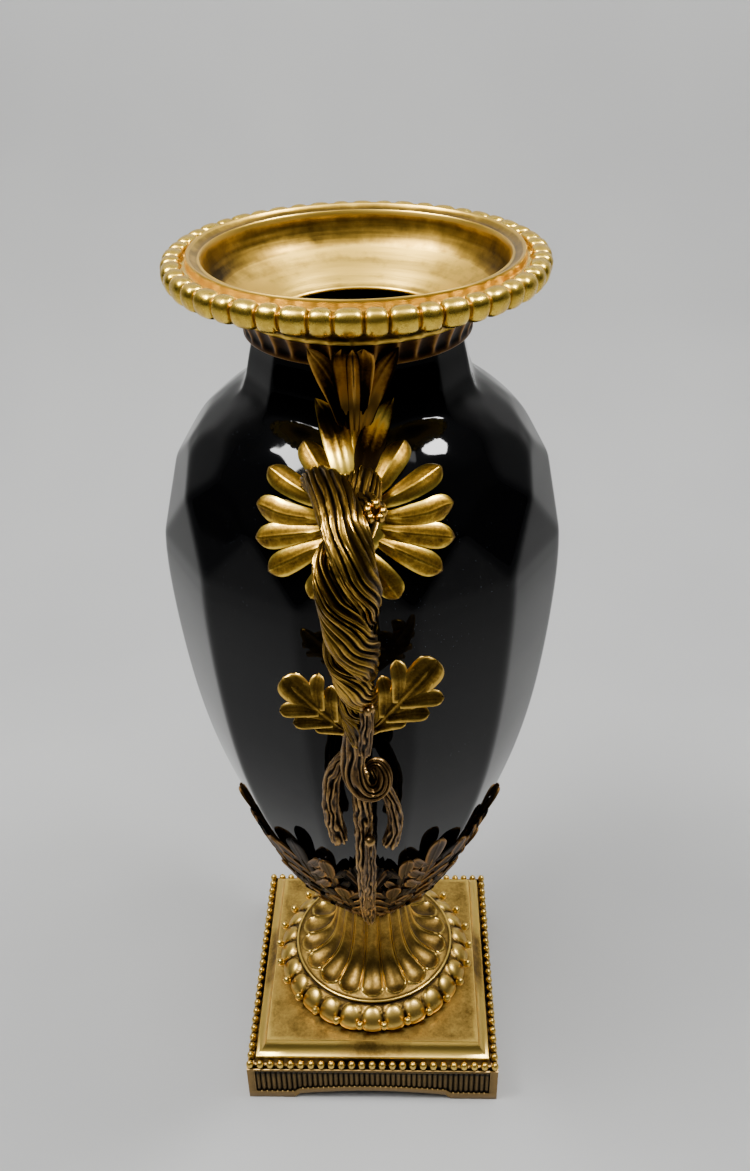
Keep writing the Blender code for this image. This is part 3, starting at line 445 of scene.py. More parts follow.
def mouth_funnel(finish):
    """The spun inside of the mouth, from the lip down to the hole, and the fluted flare under it."""
    azimuths = evenly_round(COLLAR_SAMPLES)
    rows = rings(LIP_PROFILE, azimuths)
    for radius, height in FLARE_PROFILE:
        share = min(1.0, (height - 570.4) / 1.5) * min(1.0, max(0.0, (577.0 - height) / 4.0))
        rows.append([polar((radius - FLUTE_DEPTH * share * flute_hollow(azimuth)) * MM, azimuth, height * MM)
                     for azimuth in azimuths])
    rows += rings([(88.5, 590.0)], azimuths)
    piece("spun_mouth", [skin(rows + [rows[0]])], finish, "mouth_rim", passes=6, spread=1.2 * MM)


COLLAR_OUTLINE = [(59.9, 557.5), (60.9, 557.5), (61.3, 558.1), (61.3, 559.0), (61.7, 561.5), (62.7, 564.5),
                  (64.0, 567.6), (65.0, 569.9)]
COLLAR_INSIDE = [(64.8, 570.1), (62.2, 570.1), (58.8, 563.5), (58.3, 557.6)]
COLLAR_COVER = [(551.5, 0.0), (553.0, 58.6), (557.5, 61.4), (561.5, 61.8), (564.5, 62.8), (567.6, 64.1),
                (570.0, 65.1),
                (573.0, 66.9)]
COLLAR_FLUTES = 36
COLLAR_SAMPLES = COLLAR_FLUTES * 12
FLUTE_DEPTH = 1.3


def flute_hollow(azimuth):
    """Depth of the collar's flutes, 0 on the fillets to 1 in the hollows."""
    return 1.0 - abs(place_across(azimuth, COLLAR_FLUTES)) ** 2.2


def neck_collar(finish):
    """The fluted band that tapers down the neck."""
    azimuths = evenly_round(COLLAR_SAMPLES)
    rows = []
    for spot in turned_line(COLLAR_OUTLINE, 3):
        share = min(1.0, max(0.0, (spot.z - 558.8) / 3.0))
        rows.append([polar((spot.y - FLUTE_DEPTH * share * flute_hollow(azimuth)) * MM, azimuth, spot.z * MM)
                     for azimuth in azimuths])
    rows += rings(COLLAR_INSIDE, azimuths)
    piece("fluted_collar", [skin(rows + [rows[0]])], finish, "neck_collar", passes=8, spread=0.5 * MM)


def over_collar(azimuth, height, lift):
    """A point over the neck, the collar and the flare above it, all in millimetres."""
    radius = max(body_radius(azimuth, height * MM), between(COLLAR_COVER, height) * MM)
    return polar(radius + lift * MM, azimuth, height * MM)


# Foot

FOOT_LOBES = 26
FOOT_FLUTES = 18
FOOT_SAMPLES = 432
FOOT_LOBE_DEPTH = 3.0
LOBE_ROWS = [(62.0, 48.3), (66.5, 48.4), (69.5, 49.2), (71.6, 51.0), (72.5, 53.6), (72.3, 56.4), (71.0, 59.2),
             (69.0, 61.8), (66.6, 64.0), (64.2, 65.8), (62.0, 67.2), (60.3, 68.2)]
RING_ROWS = [(59.6, 68.7), (59.2, 69.2), (58.7, 69.4), (58.2, 69.3), (57.8, 69.0)]
FLUTE_ROWS = [(57.0, 69.4), (54.0, 70.2), (50.0, 71.2), (45.5, 72.5), (41.0, 74.4), (37.0, 77.0),
              (33.8, 80.4),
              (31.2, 84.8), (29.3, 90.0), (27.8, 96.5), (26.6, 104.0), (25.4, 111.5), (24.4, 118.5)]
STEM_ROWS = [(24.2, 120.4), (24.6, 122.0), (25.4, 123.0)]


def flute_height(radius, u):
    """Relief of the hollow flutes in millimetres: a hollow in a fine raised border, closed at its foot."""
    end = max(0.0, (radius - 48.6) / 7.2)
    away = math.sqrt(u * u + end * end)
    hollow = -1.9 * (1.0 - (away / 0.80) ** 2) if away < 0.80 else 0.0
    border = 0.95 * math.exp(-((away - 0.88) / 0.055) ** 2)
    valley = -0.35 if away > 0.97 else 0.0
    return (hollow + border + valley) * min(1.0, radius / 34.0)


def foot_lobe(share, u):
    """Relief of the foot's lobes in millimetres: round backs with sunk ends and a fine fillet between."""
    end = max(0.0, (share - 0.60) / 0.36)
    start = max(0.0, (0.14 - share) / 0.14)
    away = math.sqrt(u * u * (1.0 + 0.5 * max(0.0, 0.45 - share)) + end * end + 0.3 * start)
    lift = (1.0 - (away / 0.93) ** 2.4) ** 0.5 if away < 0.93 else 0.0
    fillet = 0.22 * math.exp(-((away - 1.0) / 0.07) ** 2)
    return FOOT_LOBE_DEPTH * (lift - 1.0) + FOOT_LOBE_DEPTH * fillet


def foot(finish):
    """The round socle: lobes with a bead between each two, a raised ring, hollow flutes and the stem."""
    azimuths = evenly_round(FOOT_SAMPLES, 0.5)
    rows = []
    for spot, share, out in off_line(turned_line(LOBE_ROWS, 3)):
        rows.append([moved_off(spot, out, foot_lobe(share, place_across(azimuth, FOOT_LOBES, 0.5)), azimuth)
                     for azimuth in azimuths])
    rows += rings(RING_ROWS, azimuths)
    for spot, _, out in off_line(turned_line(FLUTE_ROWS, 4)):
        rows.append([moved_off(spot, out, flute_height(spot.y, place_across(azimuth, FOOT_FLUTES, 0.5)),
                               azimuth)
                     for azimuth in azimuths])
    rows += rings(STEM_ROWS, azimuths)
    parts = [skin(rows, start=True, end=True)]
    for azimuth in evenly_round(FOOT_LOBES, 0.5):
        parts.append(bead(polar(73.2 * MM, azimuth, 59.8 * MM), (2.8 * MM, 3.0 * MM, 3.2 * MM),
                          polar(0.35, azimuth, 0.94)))
    piece("gadrooned_foot", parts, finish, "foot", passes=8, spread=0.9 * MM)


# Plinth

PLINTH_HALF = 91.0
FACE_TOP = 32.9
PANEL_TOP = 30.4
PANEL_BORDER = 5.6
APRON_FOOT = 57.5
APRON_ARCH = 53.5
APRON_STEP = 4.6
APRON_RISE = 3.9
APRON_WALL = 6.0
APRON_BORDER = [(0.0, 7.2), (4.6, 6.0), (8.5, 5.2)]
CEILING = 10.0
BEAD_ROW_HALF = 88.6
BEADS_PER_SIDE = 24
REEDS = 45
BEAD_BED_PROFILE = [(90.6, 33.1), (90.2, 33.2), (89.9, 33.0), (89.3, 32.9), (88.2, 32.8), (86.4, 33.4),
                    (85.2, 34.6), (84.9, 36.6), (84.7, 38.4)]
SLOPE_PROFILE = [(84.4, 37.6), (84.7, 38.4), (84.5, 39.2), (84.0, 39.6), (83.2, 39.9), (81.4, 40.9),
                 (79.6, 42.4),
                 (78.2, 44.2), (77.3, 46.0), (77.0, 46.9), (76.9, 47.5), (76.6, 47.9), (76.1, 48.0),
                 (70.0, 48.0)]


def squared(half, height, per_side):
    """Points round a square, starting at the corner (-half, -half)."""
    row = []
    for side in range(4):
        turn = Matrix.Rotation(math.radians(90 * side), 3, "Z")
        row += [turn @ Vector((-half + 2 * half * k / per_side, -half, height)) for k in range(per_side)]
    return row


def apron_height(x):
    """Underside of one side's apron: level under the corner feet, a short slope, then a low arch."""
    away = abs(x)
    if away > APRON_FOOT:
        return 0.0
    if away > APRON_ARCH:
        return APRON_STEP * (APRON_FOOT - away) / 4.0
    return APRON_STEP + APRON_RISE * math.cos(0.5 * math.pi * away / APRON_ARCH)


def plinth_side(side):
    """One face: apron, sunk panel of upright reeds that follows the apron, and the flat border round it."""
    half = PLINTH_HALF
    turn = Matrix.Rotation(math.radians(90 * side), 3, "Z")
    edge = half - PANEL_BORDER
    pitch = 2 * edge / REEDS
    xs = [-half, -half + 0.4, -edge - 0.5, -edge]
    for k in range(REEDS):
        xs += [-edge + pitch * (k + s) for s in (0.07, 0.2, 0.36, 0.5, 0.64, 0.8, 0.93, 1.0)]
    xs += [edge + 0.5, half - 0.4, half]
    levels = [("under", 0.0), ("under", 0.5), ("low", -0.7), ("low", 0.0), ("low", 0.5), ("mix", 0.15),
              ("mix", 0.5),
              ("mix", 0.85), ("top", -0.5), ("top", 0.0), ("top", 0.6), ("rim", 0.0)]
    rows = []
    for kind, amount in levels:
        row = []
        for x in xs:
            bottom = apron_height(x)
            low = bottom + between(APRON_BORDER, bottom)
            height = {"under": bottom + amount, "low": low + amount, "mix": low + (PANEL_TOP - low) * amount,
                      "top": PANEL_TOP + amount, "rim": FACE_TOP}[kind]
            reeded = kind == "mix" or (kind == "low" and amount > 0.0) or (kind == "top" and amount < 0.0)
            depth = 0.3 if kind == "under" and amount == 0.0 else 0.0
            if reeded and abs(x) < edge:
                across = ((x + edge) / pitch) % 1.0
                depth = 1.7 - 1.45 * math.sin(math.pi * across) ** 0.7
            row.append(turn @ Vector((x * MM, -(half - depth) * MM, height * MM)))
        rows.append(row)
    back = half - APRON_WALL
    inner = [turn @ Vector((x * back / half * MM, -back * MM, apron_height(x) * MM)) for x in xs]
    ceiling = [turn @ Vector((x * back / half * MM, -back * MM, CEILING * MM)) for x in xs]
    middle = [turn @ Vector((0.0, 0.0, CEILING * MM)) for _ in xs]
    return skin([middle, ceiling, inner] + rows, around=False)


def plinth(face_finish, slope_finish):
    """The square base in three pieces: faces, slope with the platform, and beads."""
    bed = [squared(r * MM, z * MM, 8) for r, z in [(PLINTH_HALF, FACE_TOP)] + BEAD_BED_PROFILE]
    slope = [squared(p.y * MM, p.z * MM, 8) for p in turned_line(SLOPE_PROFILE, 2)]
    beads = []
    for side in range(4):
        turn = Matrix.Rotation(math.radians(90 * side), 3, "Z")
        for k in range(BEADS_PER_SIDE):
            across = -BEAD_ROW_HALF + 2 * BEAD_ROW_HALF * k / BEADS_PER_SIDE
            spot = turn @ Vector((across * MM, -BEAD_ROW_HALF * MM, 36.2 * MM))
            beads.append(bead(spot, (2.75 * MM, 2.75 * MM, 3.2 * MM), (0, 0, 1)))
    piece("plinth_faces", [plinth_side(side) for side in range(4)] + [skin(bed)], face_finish, "plinth",
          passes=5,
          sharp=38.0)
    piece("plinth_slope", [skin(slope, end=True)], slope_finish, "plinth", passes=5, sharp=38.0)
    piece("plinth_beads", beads, slope_finish, "plinth", passes=3, spread=0.8 * MM)


# Leaf cup under the porcelain

CUP_REPEATS = 6
CUP_STEP = 360.0 / CUP_REPEATS
CUP_STEM = [(27.2, 126.0), (31.0, 133.0)]
CORD_SIDES = 14
CORD_TURNS = 30
TONGUES = 24


def cup_leaf(azimuth, tip, base, width, pairs, lift=2.4):
    """A lobed leaf up the porcelain: a narrow blade, side lobes that lean forward and a round end lobe."""
    size = tip - base
    facing = body_facing(azimuth, (base + tip) / 2 * MM)
    stations = (0.0, 0.3, 0.58, 0.72, 0.88, 1.0)
    spine = [on_glaze(azimuth, base + size * t, lift + 2.2 * t * t) for t in stations]
    parts = [petal(spine[:4], facing, width * 0.42 * MM, root=0.75, peak=0.5, bulge=0.5, rib=1.2),
             petal(spine[2:], facing, width * 0.52 * MM, root=0.5, bulge=0.8, rib=1.0, edge=0.5, steps=5,
                   across=12)]
    radius = body_radius(azimuth, (base + tip) / 2 * MM) / MM
    for k in range(pairs):
        share = 0.06 + 0.52 * k / max(1, pairs - 1)
        start = base + size * share
        reach = width * (0.62 - 0.12 * share)
        rise = size * 0.24
        for side in (-1, 1):
            out = math.degrees(reach / radius) * side
            line = [on_glaze(azimuth, start, lift + 0.6),
                    on_glaze(azimuth + out * 0.6, start + rise * 0.42, lift + 1.4),
                    on_glaze(azimuth + out, start + rise * 1.05, lift + 2.0)]
            parts.append(petal(line, facing, width * 0.30 * MM, root=0.55, peak=0.62, bulge=0.7, rib=0.8,
                               edge=0.4,
                               steps=5))
    return parts


def fan(azimuth, base, tip, spread, ribs, lift=2.0):
    """A scallop of narrow ribs that open upwards from one point."""
    parts = []
    radius = body_radius(azimuth, tip * MM) / MM
    facing = body_facing(azimuth, (base + tip) / 2 * MM)
    for k in range(ribs):
        share = 2.0 * k / (ribs - 1) - 1.0
        out = math.degrees(spread * share / radius)
        top = tip - (tip - base) * 0.22 * share * share
        line = [on_glaze(azimuth + out * 0.25, base, lift),
                on_glaze(azimuth + out * 0.62, base + (top - base) * 0.55, lift + 0.9),
                on_glaze(azimuth + out, top, lift + 1.9)]
        parts.append(petal(line, facing, spread * 2.6 / ribs * MM, root=0.3, peak=0.80, bulge=0.1, rib=1.0,
                           edge=0.1,
                           steps=5, across=6, fold=0.5))
    return parts


def cup_shell():
    """The thin cup behind the leaves: hollow flutes, with an edge that rises to each leaf."""
    azimuths = evenly_round(360)
    rows = rings(CUP_STEM, azimuths)
    for share in (0.0, 0.15, 0.35, 0.6, 0.85, 1.0):
        row = []
        for azimuth in azimuths:
            away = abs(azimuth % CUP_STEP - CUP_STEP / 2)
            edge = 196.0 + 20.0 * math.exp(-(away / 8.0) ** 2)
            edge += 14.0 * math.exp(-((away - CUP_STEP / 2) / 7.0) ** 2)
            ripple = 0.8 * abs(math.sin(math.radians(azimuth * 18.0))) * min(1.0, share * 4.0)
            row.append(on_glaze(azimuth, 143.0 + (edge - 143.0) * share, 2.0 - 0.9 * share + ripple))
        rows.append(row)
    for height in (192.0, 142.0):
        rows.append([on_glaze(azimuth, height, 0.5) for azimuth in azimuths])
    return skin(rows, start=True, end=True)


def leaf_cup(finish):
    """The cup of leaves in tiers, with a fan of ribs between each two tall leaves and the rope ring below."""
    parts = [cup_shell()]
    for k in range(CUP_REPEATS):
        middle = CUP_STEP * (k + 0.5)
        parts += cup_leaf(middle, 257.0, 176.0, 25.0, 4, 2.8)
        for side in (-1, 1):
            parts += cup_leaf(middle + 13.0 * side, 244.0, 182.0, 19.0, 3, 2.2)
            parts += cup_leaf(middle + 17.0 * side, 209.0, 158.0, 19.0, 3, 3.0)
            parts += cup_leaf(middle + 5.5 * side, 186.0, 146.0, 13.0, 2, 3.2)
        parts += fan(middle + CUP_STEP / 2, 190.0, 241.0, 17.0, 11)
    parts += rope_ring()
    piece("acanthus_cup", parts, finish, "leaf_cup", spread=0.9 * MM)


def rope_ring():
    """A twisted rope under the leaves, with a row of small tongues hanging from it."""
    rows = []
    for azimuth in evenly_round(360):
        row = []
        for k in range(CORD_SIDES):
            angle = 2 * math.pi * k / CORD_SIDES
            swell = 2.5 + 0.55 * math.cos(2.0 * angle + math.radians(azimuth * CORD_TURNS))
            row.append(polar((28.8 + swell * math.cos(angle)) * MM, azimuth,
                             (129.6 + swell * math.sin(angle)) * MM))
        rows.append(row)
    parts = [skin(rows + [rows[0]])]
    for azimuth in evenly_round(TONGUES):
        line = [polar(28.5 * MM, azimuth, 129.0 * MM), polar(29.2 * MM, azimuth, 126.4 * MM),
                polar(28.4 * MM, azimuth, 123.9 * MM)]
        parts.append(petal(line, polar(1.0, azimuth, 0.1), 5.0 * MM, root=0.8, peak=0.5, bulge=0.7, rib=0.3,
                           across=8))
    return parts


# Rosette and neck leaf

PETALS = [((24.8, 521.0), (6.0, 500.5)), ((42.3, 510.2), (9.0, 498.5)), ((48.2, 495.2), (9.0, 494.0)),
          ((48.2, 481.0), (9.0, 490.5)), ((42.5, 466.2), (8.0, 486.5)), ((21.6, 456.4), (4.0, 482.0))]
PETAL_WIDTH = 13.2


def over_body(across, height, lift):
    """A point over the front of the porcelain from its sideways place and its height in millimetres."""
    azimuth = math.degrees(math.atan2(across, body_radius(0.0, height * MM) / MM))
    azimuth = math.degrees(math.asin(min(1.0, across * MM / body_radius(azimuth, height * MM))))
    return on_glaze(azimuth, height, lift)


def palmette():
    """The rosette: six petals a side, fanned out from a low boss."""
    parts = []
    for (tip_across, tip_height), (root_across, root_height) in PETALS:
        for side in (-1, 1):
            line = []
            for s, lift in ((0.0, 3.0), (0.30, 4.6), (0.62, 5.0), (0.86, 4.2), (1.0, 3.0)):
                line.append(over_body(side * (root_across + (tip_across - root_across) * s),
                                      root_height + (tip_height - root_height) * s, lift))
            facing = body_facing(math.degrees(math.atan2(side * tip_across, 100.0)) * 0.7, tip_height * MM)
            parts.append(petal(line, facing, PETAL_WIDTH * MM, root=0.24, peak=0.62, bulge=0.7, rib=0.5,
                               edge=0.15,
                               thick=1.8, steps=7, across=16, fold=2.4, tip=(1.7, 0.82)))
    boss = over_body(0.0, 492.0, 1.0)
    parts.append(bead(boss, (17.0 * MM, 17.0 * MM, 5.0 * MM), body_facing(0.0, 0.492), around=36, rows=12))
    return parts


def neck_leaf():
    """The tall leaf over the rosette: a stem that parts into two tips, then a wider tier above."""
    parts = []
    facing = Vector((0.0, -0.9, 0.45))

    def blade(points, width, **shape):
        line = [over_collar(math.degrees(math.atan2(x, 63.0 + max(0.0, 530.0 - z) * 0.9)), z, lift)
                for x, z, lift in points]
        parts.append(petal(line, facing, width * MM, **shape))

    blade([(0.0, 500.0, 4.0), (0.0, 511.0, 4.5), (0.0, 521.0, 6.0), (0.0, 531.0, 4.6)], 16.0, root=0.76,
          peak=0.70,
          bulge=0.7, rib=1.2, across=16)
    for side in (-1, 1):
        blade([(side * 3.0, 505.0, 4.6), (side * 5.0, 518.0, 5.8), (side * 11.5, 531.0, 4.2),
               (side * 20.3, 541.5, 3.2)],
              14.0, root=0.80, peak=0.50, bulge=0.8, rib=1.0, across=14, tip=(1.8, 0.75))
    lower = list(parts)
    parts.clear()
    for side in (-1, 1):
        blade([(side * 2.0, 522.0, 3.6), (side * 6.5, 538.0, 2.8), (side * 13.5, 554.0, 3.2),
               (side * 21.8, 569.0, 3.0)], 12.5, root=0.45, peak=0.60, bulge=0.8, rib=1.0, across=14,
              tip=(1.8, 0.7))
        blade([(side * 0.6, 523.0, 4.0), (side * 2.4, 538.0, 3.6), (side * 4.4, 556.0, 4.0),
               (side * 4.8, 569.8, 3.6)],
              11.5, root=0.45, peak=0.84, bulge=0.5, rib=0.5, across=14)
    blade([(0.0, 522.0, 4.4), (0.0, 538.0, 4.4), (0.0, 556.0, 4.8), (0.0, 569.8, 4.4)], 7.0, root=0.60,
          peak=0.80,
          bulge=0.3, rib=0.9, across=12)
    return lower, parts


# Handle: two branches wound like a rope, then one trunk that rolls into a curl

ROPE_LINE = [(-7.0, 90.0, 509.8), (-6.2, 98.5, 515.0), (-4.5, 110.0, 516.0), (-2.7, 125.0, 513.0),
             (-2.1, 141.2, 507.0), (-2.4, 150.2, 497.2), (-0.5, 152.6, 482.9), (-0.6, 151.8, 465.5),
             (-0.4, 150.0, 448.9), (0.5, 146.0, 430.9), (1.4, 141.0, 414.5),
             (0.6, 137.0, 401.6), (0.3, 132.0, 384.1)]
ROPE_TURN = [180.0, 176.0, 152.0, 128.0, 90.0, 42.0, -10.0, -90.0, -165.0, -270.0, -370.0, -450.0, -500.0]
ROPE_SPREAD = [10.5, 10.5, 9.4, 8.6, 7.6, 7.6, 7.4, 7.0, 6.4, 5.4, 4.4, 3.4, 2.6]
ROPE_SIZES = [[6.2, 6.6, 7.2, 7.6, 8.0, 8.0, 7.8, 7.4, 7.0, 6.4, 5.8, 5.2, 4.6],
              [6.6, 6.8, 7.0, 7.2, 7.4, 7.8, 8.0, 8.0, 7.6, 6.8, 5.8, 5.4, 5.0]]
TRUNK = [(0.6, 138.0, 404.0), (0.2, 134.5, 390.0), (-1.6, 130.0, 374.0), (-3.4, 127.5, 362.4),
         (-2.6, 126.5, 351.0),
         (1.2, 126.0, 341.6), (7.0, 125.5, 338.4), (12.2, 124.5, 341.8), (13.6, 123.5, 349.6),
         (10.6, 122.6, 356.0),
         (6.6, 122.4, 355.6), (4.8, 122.8, 351.4)]
TRUNK_SIZES = [6.6, 7.0, 7.2, 7.0, 6.8, 6.4, 5.8, 5.2, 4.4, 3.6, 2.6, 1.8]
STEM = [(0.0, 124.0, 352.0), (0.8, 120.0, 331.6), (0.7, 115.0, 311.3), (0.2, 111.0, 295.5),
        (0.1, 102.5, 256.1),
        (0.1, 93.0, 226.0), (0.0, 79.0, 194.0), (0.0, 66.0, 166.0)]
LEFT_ROOT = [(-4.0, 127.5, 368.0), (-9.5, 124.5, 360.0), (-14.8, 120.5, 345.4), (-17.0, 116.5, 323.7),
             (-16.4, 111.5, 303.3), (-14.2, 106.5, 284.0)]
RIGHT_ROOT = [(7.0, 121.0, 352.0), (12.0, 120.0, 338.9), (17.8, 116.5, 319.3), (18.7, 111.5, 298.8),
              (15.6, 106.0, 279.6)]
BUD_TWIG = [(4.4, 117.0, 291.0), (3.8, 109.5, 266.7), (2.4, 98.0, 232.0), (0.8, 81.0, 196.0)]
TOP_TWIG = [(4.0, 112.0, 512.0), (8.5, 123.0, 514.5), (11.5, 132.0, 517.0)]
EYE_TWIG = [(3.6, 136.0, 376.0), (5.2, 143.0, 396.0), (6.2, 149.0, 415.0)]
LIMBS = [(STEM, (5.8, 5.8, 5.8, 5.6, 5.4, 5.4, 5.2, 4.2), 15, 11.0),
         (LEFT_ROOT, (4.0, 4.4, 4.8, 5.0, 5.4, 5.8), 13, 15.0),
         (RIGHT_ROOT, (3.8, 4.2, 4.4, 4.8, 5.2), 14, 19.0),
         (BUD_TWIG, (3.0, 3.6, 4.2, 4.4), 15, 23.0),
         (EYE_TWIG, (3.8, 4.0, 4.0), 12, 31.0)]
VINE_LEAVES = [((5.0, 135.0, 387.0), (41.0, 137.0, 436.0), 0.12, 33.0),
               ((-3.0, 134.5, 386.0), (-36.5, 137.0, 425.0), -0.12, 30.0)]


def placed(points):
    """Handle points, in millimetres sideways, out from the axis and up, in the part's frame."""
    return [Vector((x * MM, -d * MM, z * MM)) for x, d, z in points]


def rope_strand(which):
    """Middle line of one of the two wound branches, and the way it is widest at each point."""
    line = placed(ROPE_LINE)
    points, sides = [], []
    for i, middle in enumerate(line):
        along = (line[min(i + 1, len(line) - 1)] - line[max(i - 1, 0)]).normalized()
        out = along.cross(Vector((1.0, 0.0, 0.0))).normalized()
        turn = math.radians(ROPE_TURN[i] + 180.0 * which)
        points.append(middle + (Vector((math.cos(turn), 0,
                                        0)) + out * math.sin(turn)) * (ROPE_SPREAD[i] * MM))
        wide = math.radians(min(ROPE_TURN[i], 90.0) + 180.0 * which)
        sides.append(Vector((-math.sin(wide), 0, 0)) + out * math.cos(wide))
    return points, sides


def knot(centre, size, facing, seed):
    """The knobbly end of a cut twig: small buds round a hollow."""
    facing = Vector(facing).normalized()
    across = facing.orthogonal().normalized()
    along = facing.cross(across)
    parts = []
    for k in range(5):
        angle = 2 * math.pi * (k + 0.2 * math.sin(k * 2.1 + seed)) / 5
        spot = centre + (across * math.cos(angle) + along * math.sin(angle)) * (size * 0.62)
        parts.append(bead(spot, (size * 0.42, size * 0.5, size * 0.62), facing, around=10, rows=6))
    return parts


def oak_leaf(base, tip, facing, width, bend):
    """A broad lobed leaf: rib, round end lobe and three forward-leaning lobes a side."""
    base, tip, facing = Vector(base), Vector(tip), Vector(facing).normalized()
    along = (tip - base).normalized()
    side = along.cross(facing).normalized()
    size = (tip - base).length

    def curve(t):
        return base + (tip - base) * t + facing * (bend * math.sin(math.pi * t) - 0.5 * bend * t)

    parts = [petal([curve(t) for t in (0.0, 0.22, 0.48, 0.72, 0.9)], facing, width * 0.50, root=0.25,
                   peak=0.62,
                   bulge=0.9, rib=1.3, edge=0.2, thick=1.6, steps=5, across=18),
             petal([curve(t) for t in (0.46, 0.66, 0.86, 1.0)], facing, width * 0.50, root=0.55, peak=0.62,
                   bulge=1.2,
                   rib=1.0, edge=0.55, thick=1.6, steps=6, across=16, cup=-0.8)]
    for share, reach, rise, wide in ((0.10, 0.30, 0.26, 0.22), (0.26, 0.47, 0.30, 0.27),
                                     (0.46, 0.47, 0.30, 0.27)):
        for which in (-1, 1):
            start = curve(share) + facing * (0.3 * MM)
            end = curve(min(1.0, share + rise)) + side * (which * width * reach) - facing * (width * 0.05)
            middle = start.lerp(end, 0.5) + facing * (width * 0.06) + along * (size * 0.03)
            parts.append(petal([start, middle, end], facing, width * wide, root=0.75, peak=0.6, bulge=0.7,
                               rib=0.7,
                               edge=0.5, thick=1.5, steps=6, across=12))
    return parts


def handle():
    """Meshes of one handle in three groups: wound branches, trunk with roots and twigs, and leaves."""
    wound, trunk, leaves = [], [], []
    for which in (0, 1):
        line, sides = rope_strand(which)
        wound.append(branch(line, ROPE_SIZES[which], flowing_bark(15, 0.19, 40 * MM, -7.0), around=128,
                            steps=13,
                            seed=3.0 * which, sides=sides, flat=1.42))
    wound.append(branch(placed(TOP_TWIG), (5.8, 5.8, 5.4), flowing_bark(7, 0.26, 14 * MM, 6.0), around=48,
                        steps=10,
                        seed=27.0))
    wound += knot(placed(TOP_TWIG)[-1] + Vector((0, -2.8 * MM, 1.0 * MM)), 5.6 * MM, (0.1, -0.9, 0.4), 0.0)
    trunk.append(branch(placed(TRUNK), TRUNK_SIZES, flowing_bark(10, 0.24, 28 * MM, 3.0), around=80, steps=9,
                        seed=8.0))
    for line, radii, steps, seed in LIMBS:
        trunk.append(branch(placed(line), radii, flowing_bark(8, 0.34, 13 * MM, 1.0), around=70, steps=steps,
                            seed=seed))
    trunk.append(bead(placed(BUD_TWIG)[0] + Vector((0, -0.6 * MM, 1.5 * MM)), (3.2 * MM, 3.2 * MM, 3.2 * MM),
                      (0, -0.6, 0.8), around=18, rows=10))
    trunk += knot(placed(EYE_TWIG)[-1] + Vector((0, -1.0 * MM, 2.4 * MM)), 4.2 * MM, (0.0, -0.5, 0.8), 1.0)
    for base, tip, lean, width in VINE_LEAVES:
        leaves += oak_leaf(*placed([base, tip]), (lean, -0.85, 0.5), width * MM, 3.5 * MM)
    return wound, trunk, leaves


# Finishes

def paint(code):
    """An sRGB hex colour as linear values."""
    parts = [int(code[i:i + 2], 16) / 255.0 for i in (1, 3, 5)]
    return tuple(c / 12.92 if c <= 0.04045 else ((c + 0.055) / 1.055) ** 2.4 for c in parts) + (1.0,)


def feed(tree, node, links=None, values=None):
    """Sets a node's fixed inputs and links sockets into it."""
    for key, value in (values or {}).items():
        node.inputs[key].default_value = value
    for key, source in (links or {}).items():
        tree.links.new(source, node.inputs[key])


def add(tree, kind, links=None, values=None, **settings):
    """One node with its settings, its fixed inputs and the sockets linked into it."""
    made = tree.nodes.new(kind)
    for key, value in settings.items():
        setattr(made, key, value)
    feed(tree, made, links, values)
    return made


def grain(tree, place, scale, detail, rough=0.5):
    """Cloudy noise over a place."""
    return add(tree, "ShaderNodeTexNoise", {"Vector": place},
               {"Scale": scale, "Detail": detail, "Roughness": rough}).outputs["Fac"]


def ranged(tree, source, low, high, to_low=0.0, to_high=1.0):
    """A value brought from one range to another and kept inside it."""
    return add(tree, "ShaderNodeMapRange", {"Value": source},
               {"From Min": low, "From Max": high, "To Min": to_low, "To Max": to_high}).outputs["Result"]


def scaled_sum(tree, source, factor, more):
    """A value times a factor, with another value added."""
    return add(tree, "ShaderNodeMath", {0: source, 2: more}, {1: factor}, operation="MULTIPLY_ADD").outputs[0]


def ramp(tree, source, stops):
    """A colour ramp from (place, colour) stops."""
    made = add(tree, "ShaderNodeValToRGB", {"Fac": source})
    band = made.color_ramp
    while len(band.elements) < len(stops):
        band.elements.new(0.5)
    for element, (place, colour) in zip(band.elements, stops):
        element.position = place
        element.color = paint(colour) if isinstance(colour, str) else (colour, colour, colour, 1.0)
    return made.outputs["Color"]


def new_finish(name):
    """A new material with its node tree, its shader and the place on the object."""
    made = bpy.data.materials.new(name)
    made.use_nodes = True
    tree = made.node_tree
    return made, tree, tree.nodes["Principled BSDF"], add(tree, "ShaderNodeTexCoord").outputs["Object"]


def cast_brass(name, stops, patch_mm, spot_mm, patch_share, spot_share, smooth, dull):
    """Cast and chased brass, fire gilt: bright where it is rubbed, brown in the hollows."""
    made, tree, shader, place = new_finish(name)
    crest = add(tree, "ShaderNodeAttribute", attribute_name="crest").outputs["Fac"]
    patch = grain(tree, place, 1000.0 / patch_mm, 4.0, 0.6)
    spot = grain(tree, place, 1000.0 / spot_mm, 5.0, 0.7)
    mixed = scaled_sum(tree, spot, spot_share, scaled_sum(tree, patch, patch_share, crest))
    tone = add(tree, "ShaderNodeMath", {0: mixed}, {1: 0.5 * (patch_share + spot_share)},
               operation="SUBTRACT").outputs[0]
    bump = add(tree, "ShaderNodeBump", {"Height": spot}, {"Strength": 0.22, "Distance": 0.3 * MM})
    feed(tree, shader, {"Base Color": ramp(tree, tone, stops), "Normal": bump.outputs["Normal"],
                        "Roughness": ranged(tree, tone, 0.25, 0.8, dull, smooth)}, {"Metallic": 1.0})
    return made


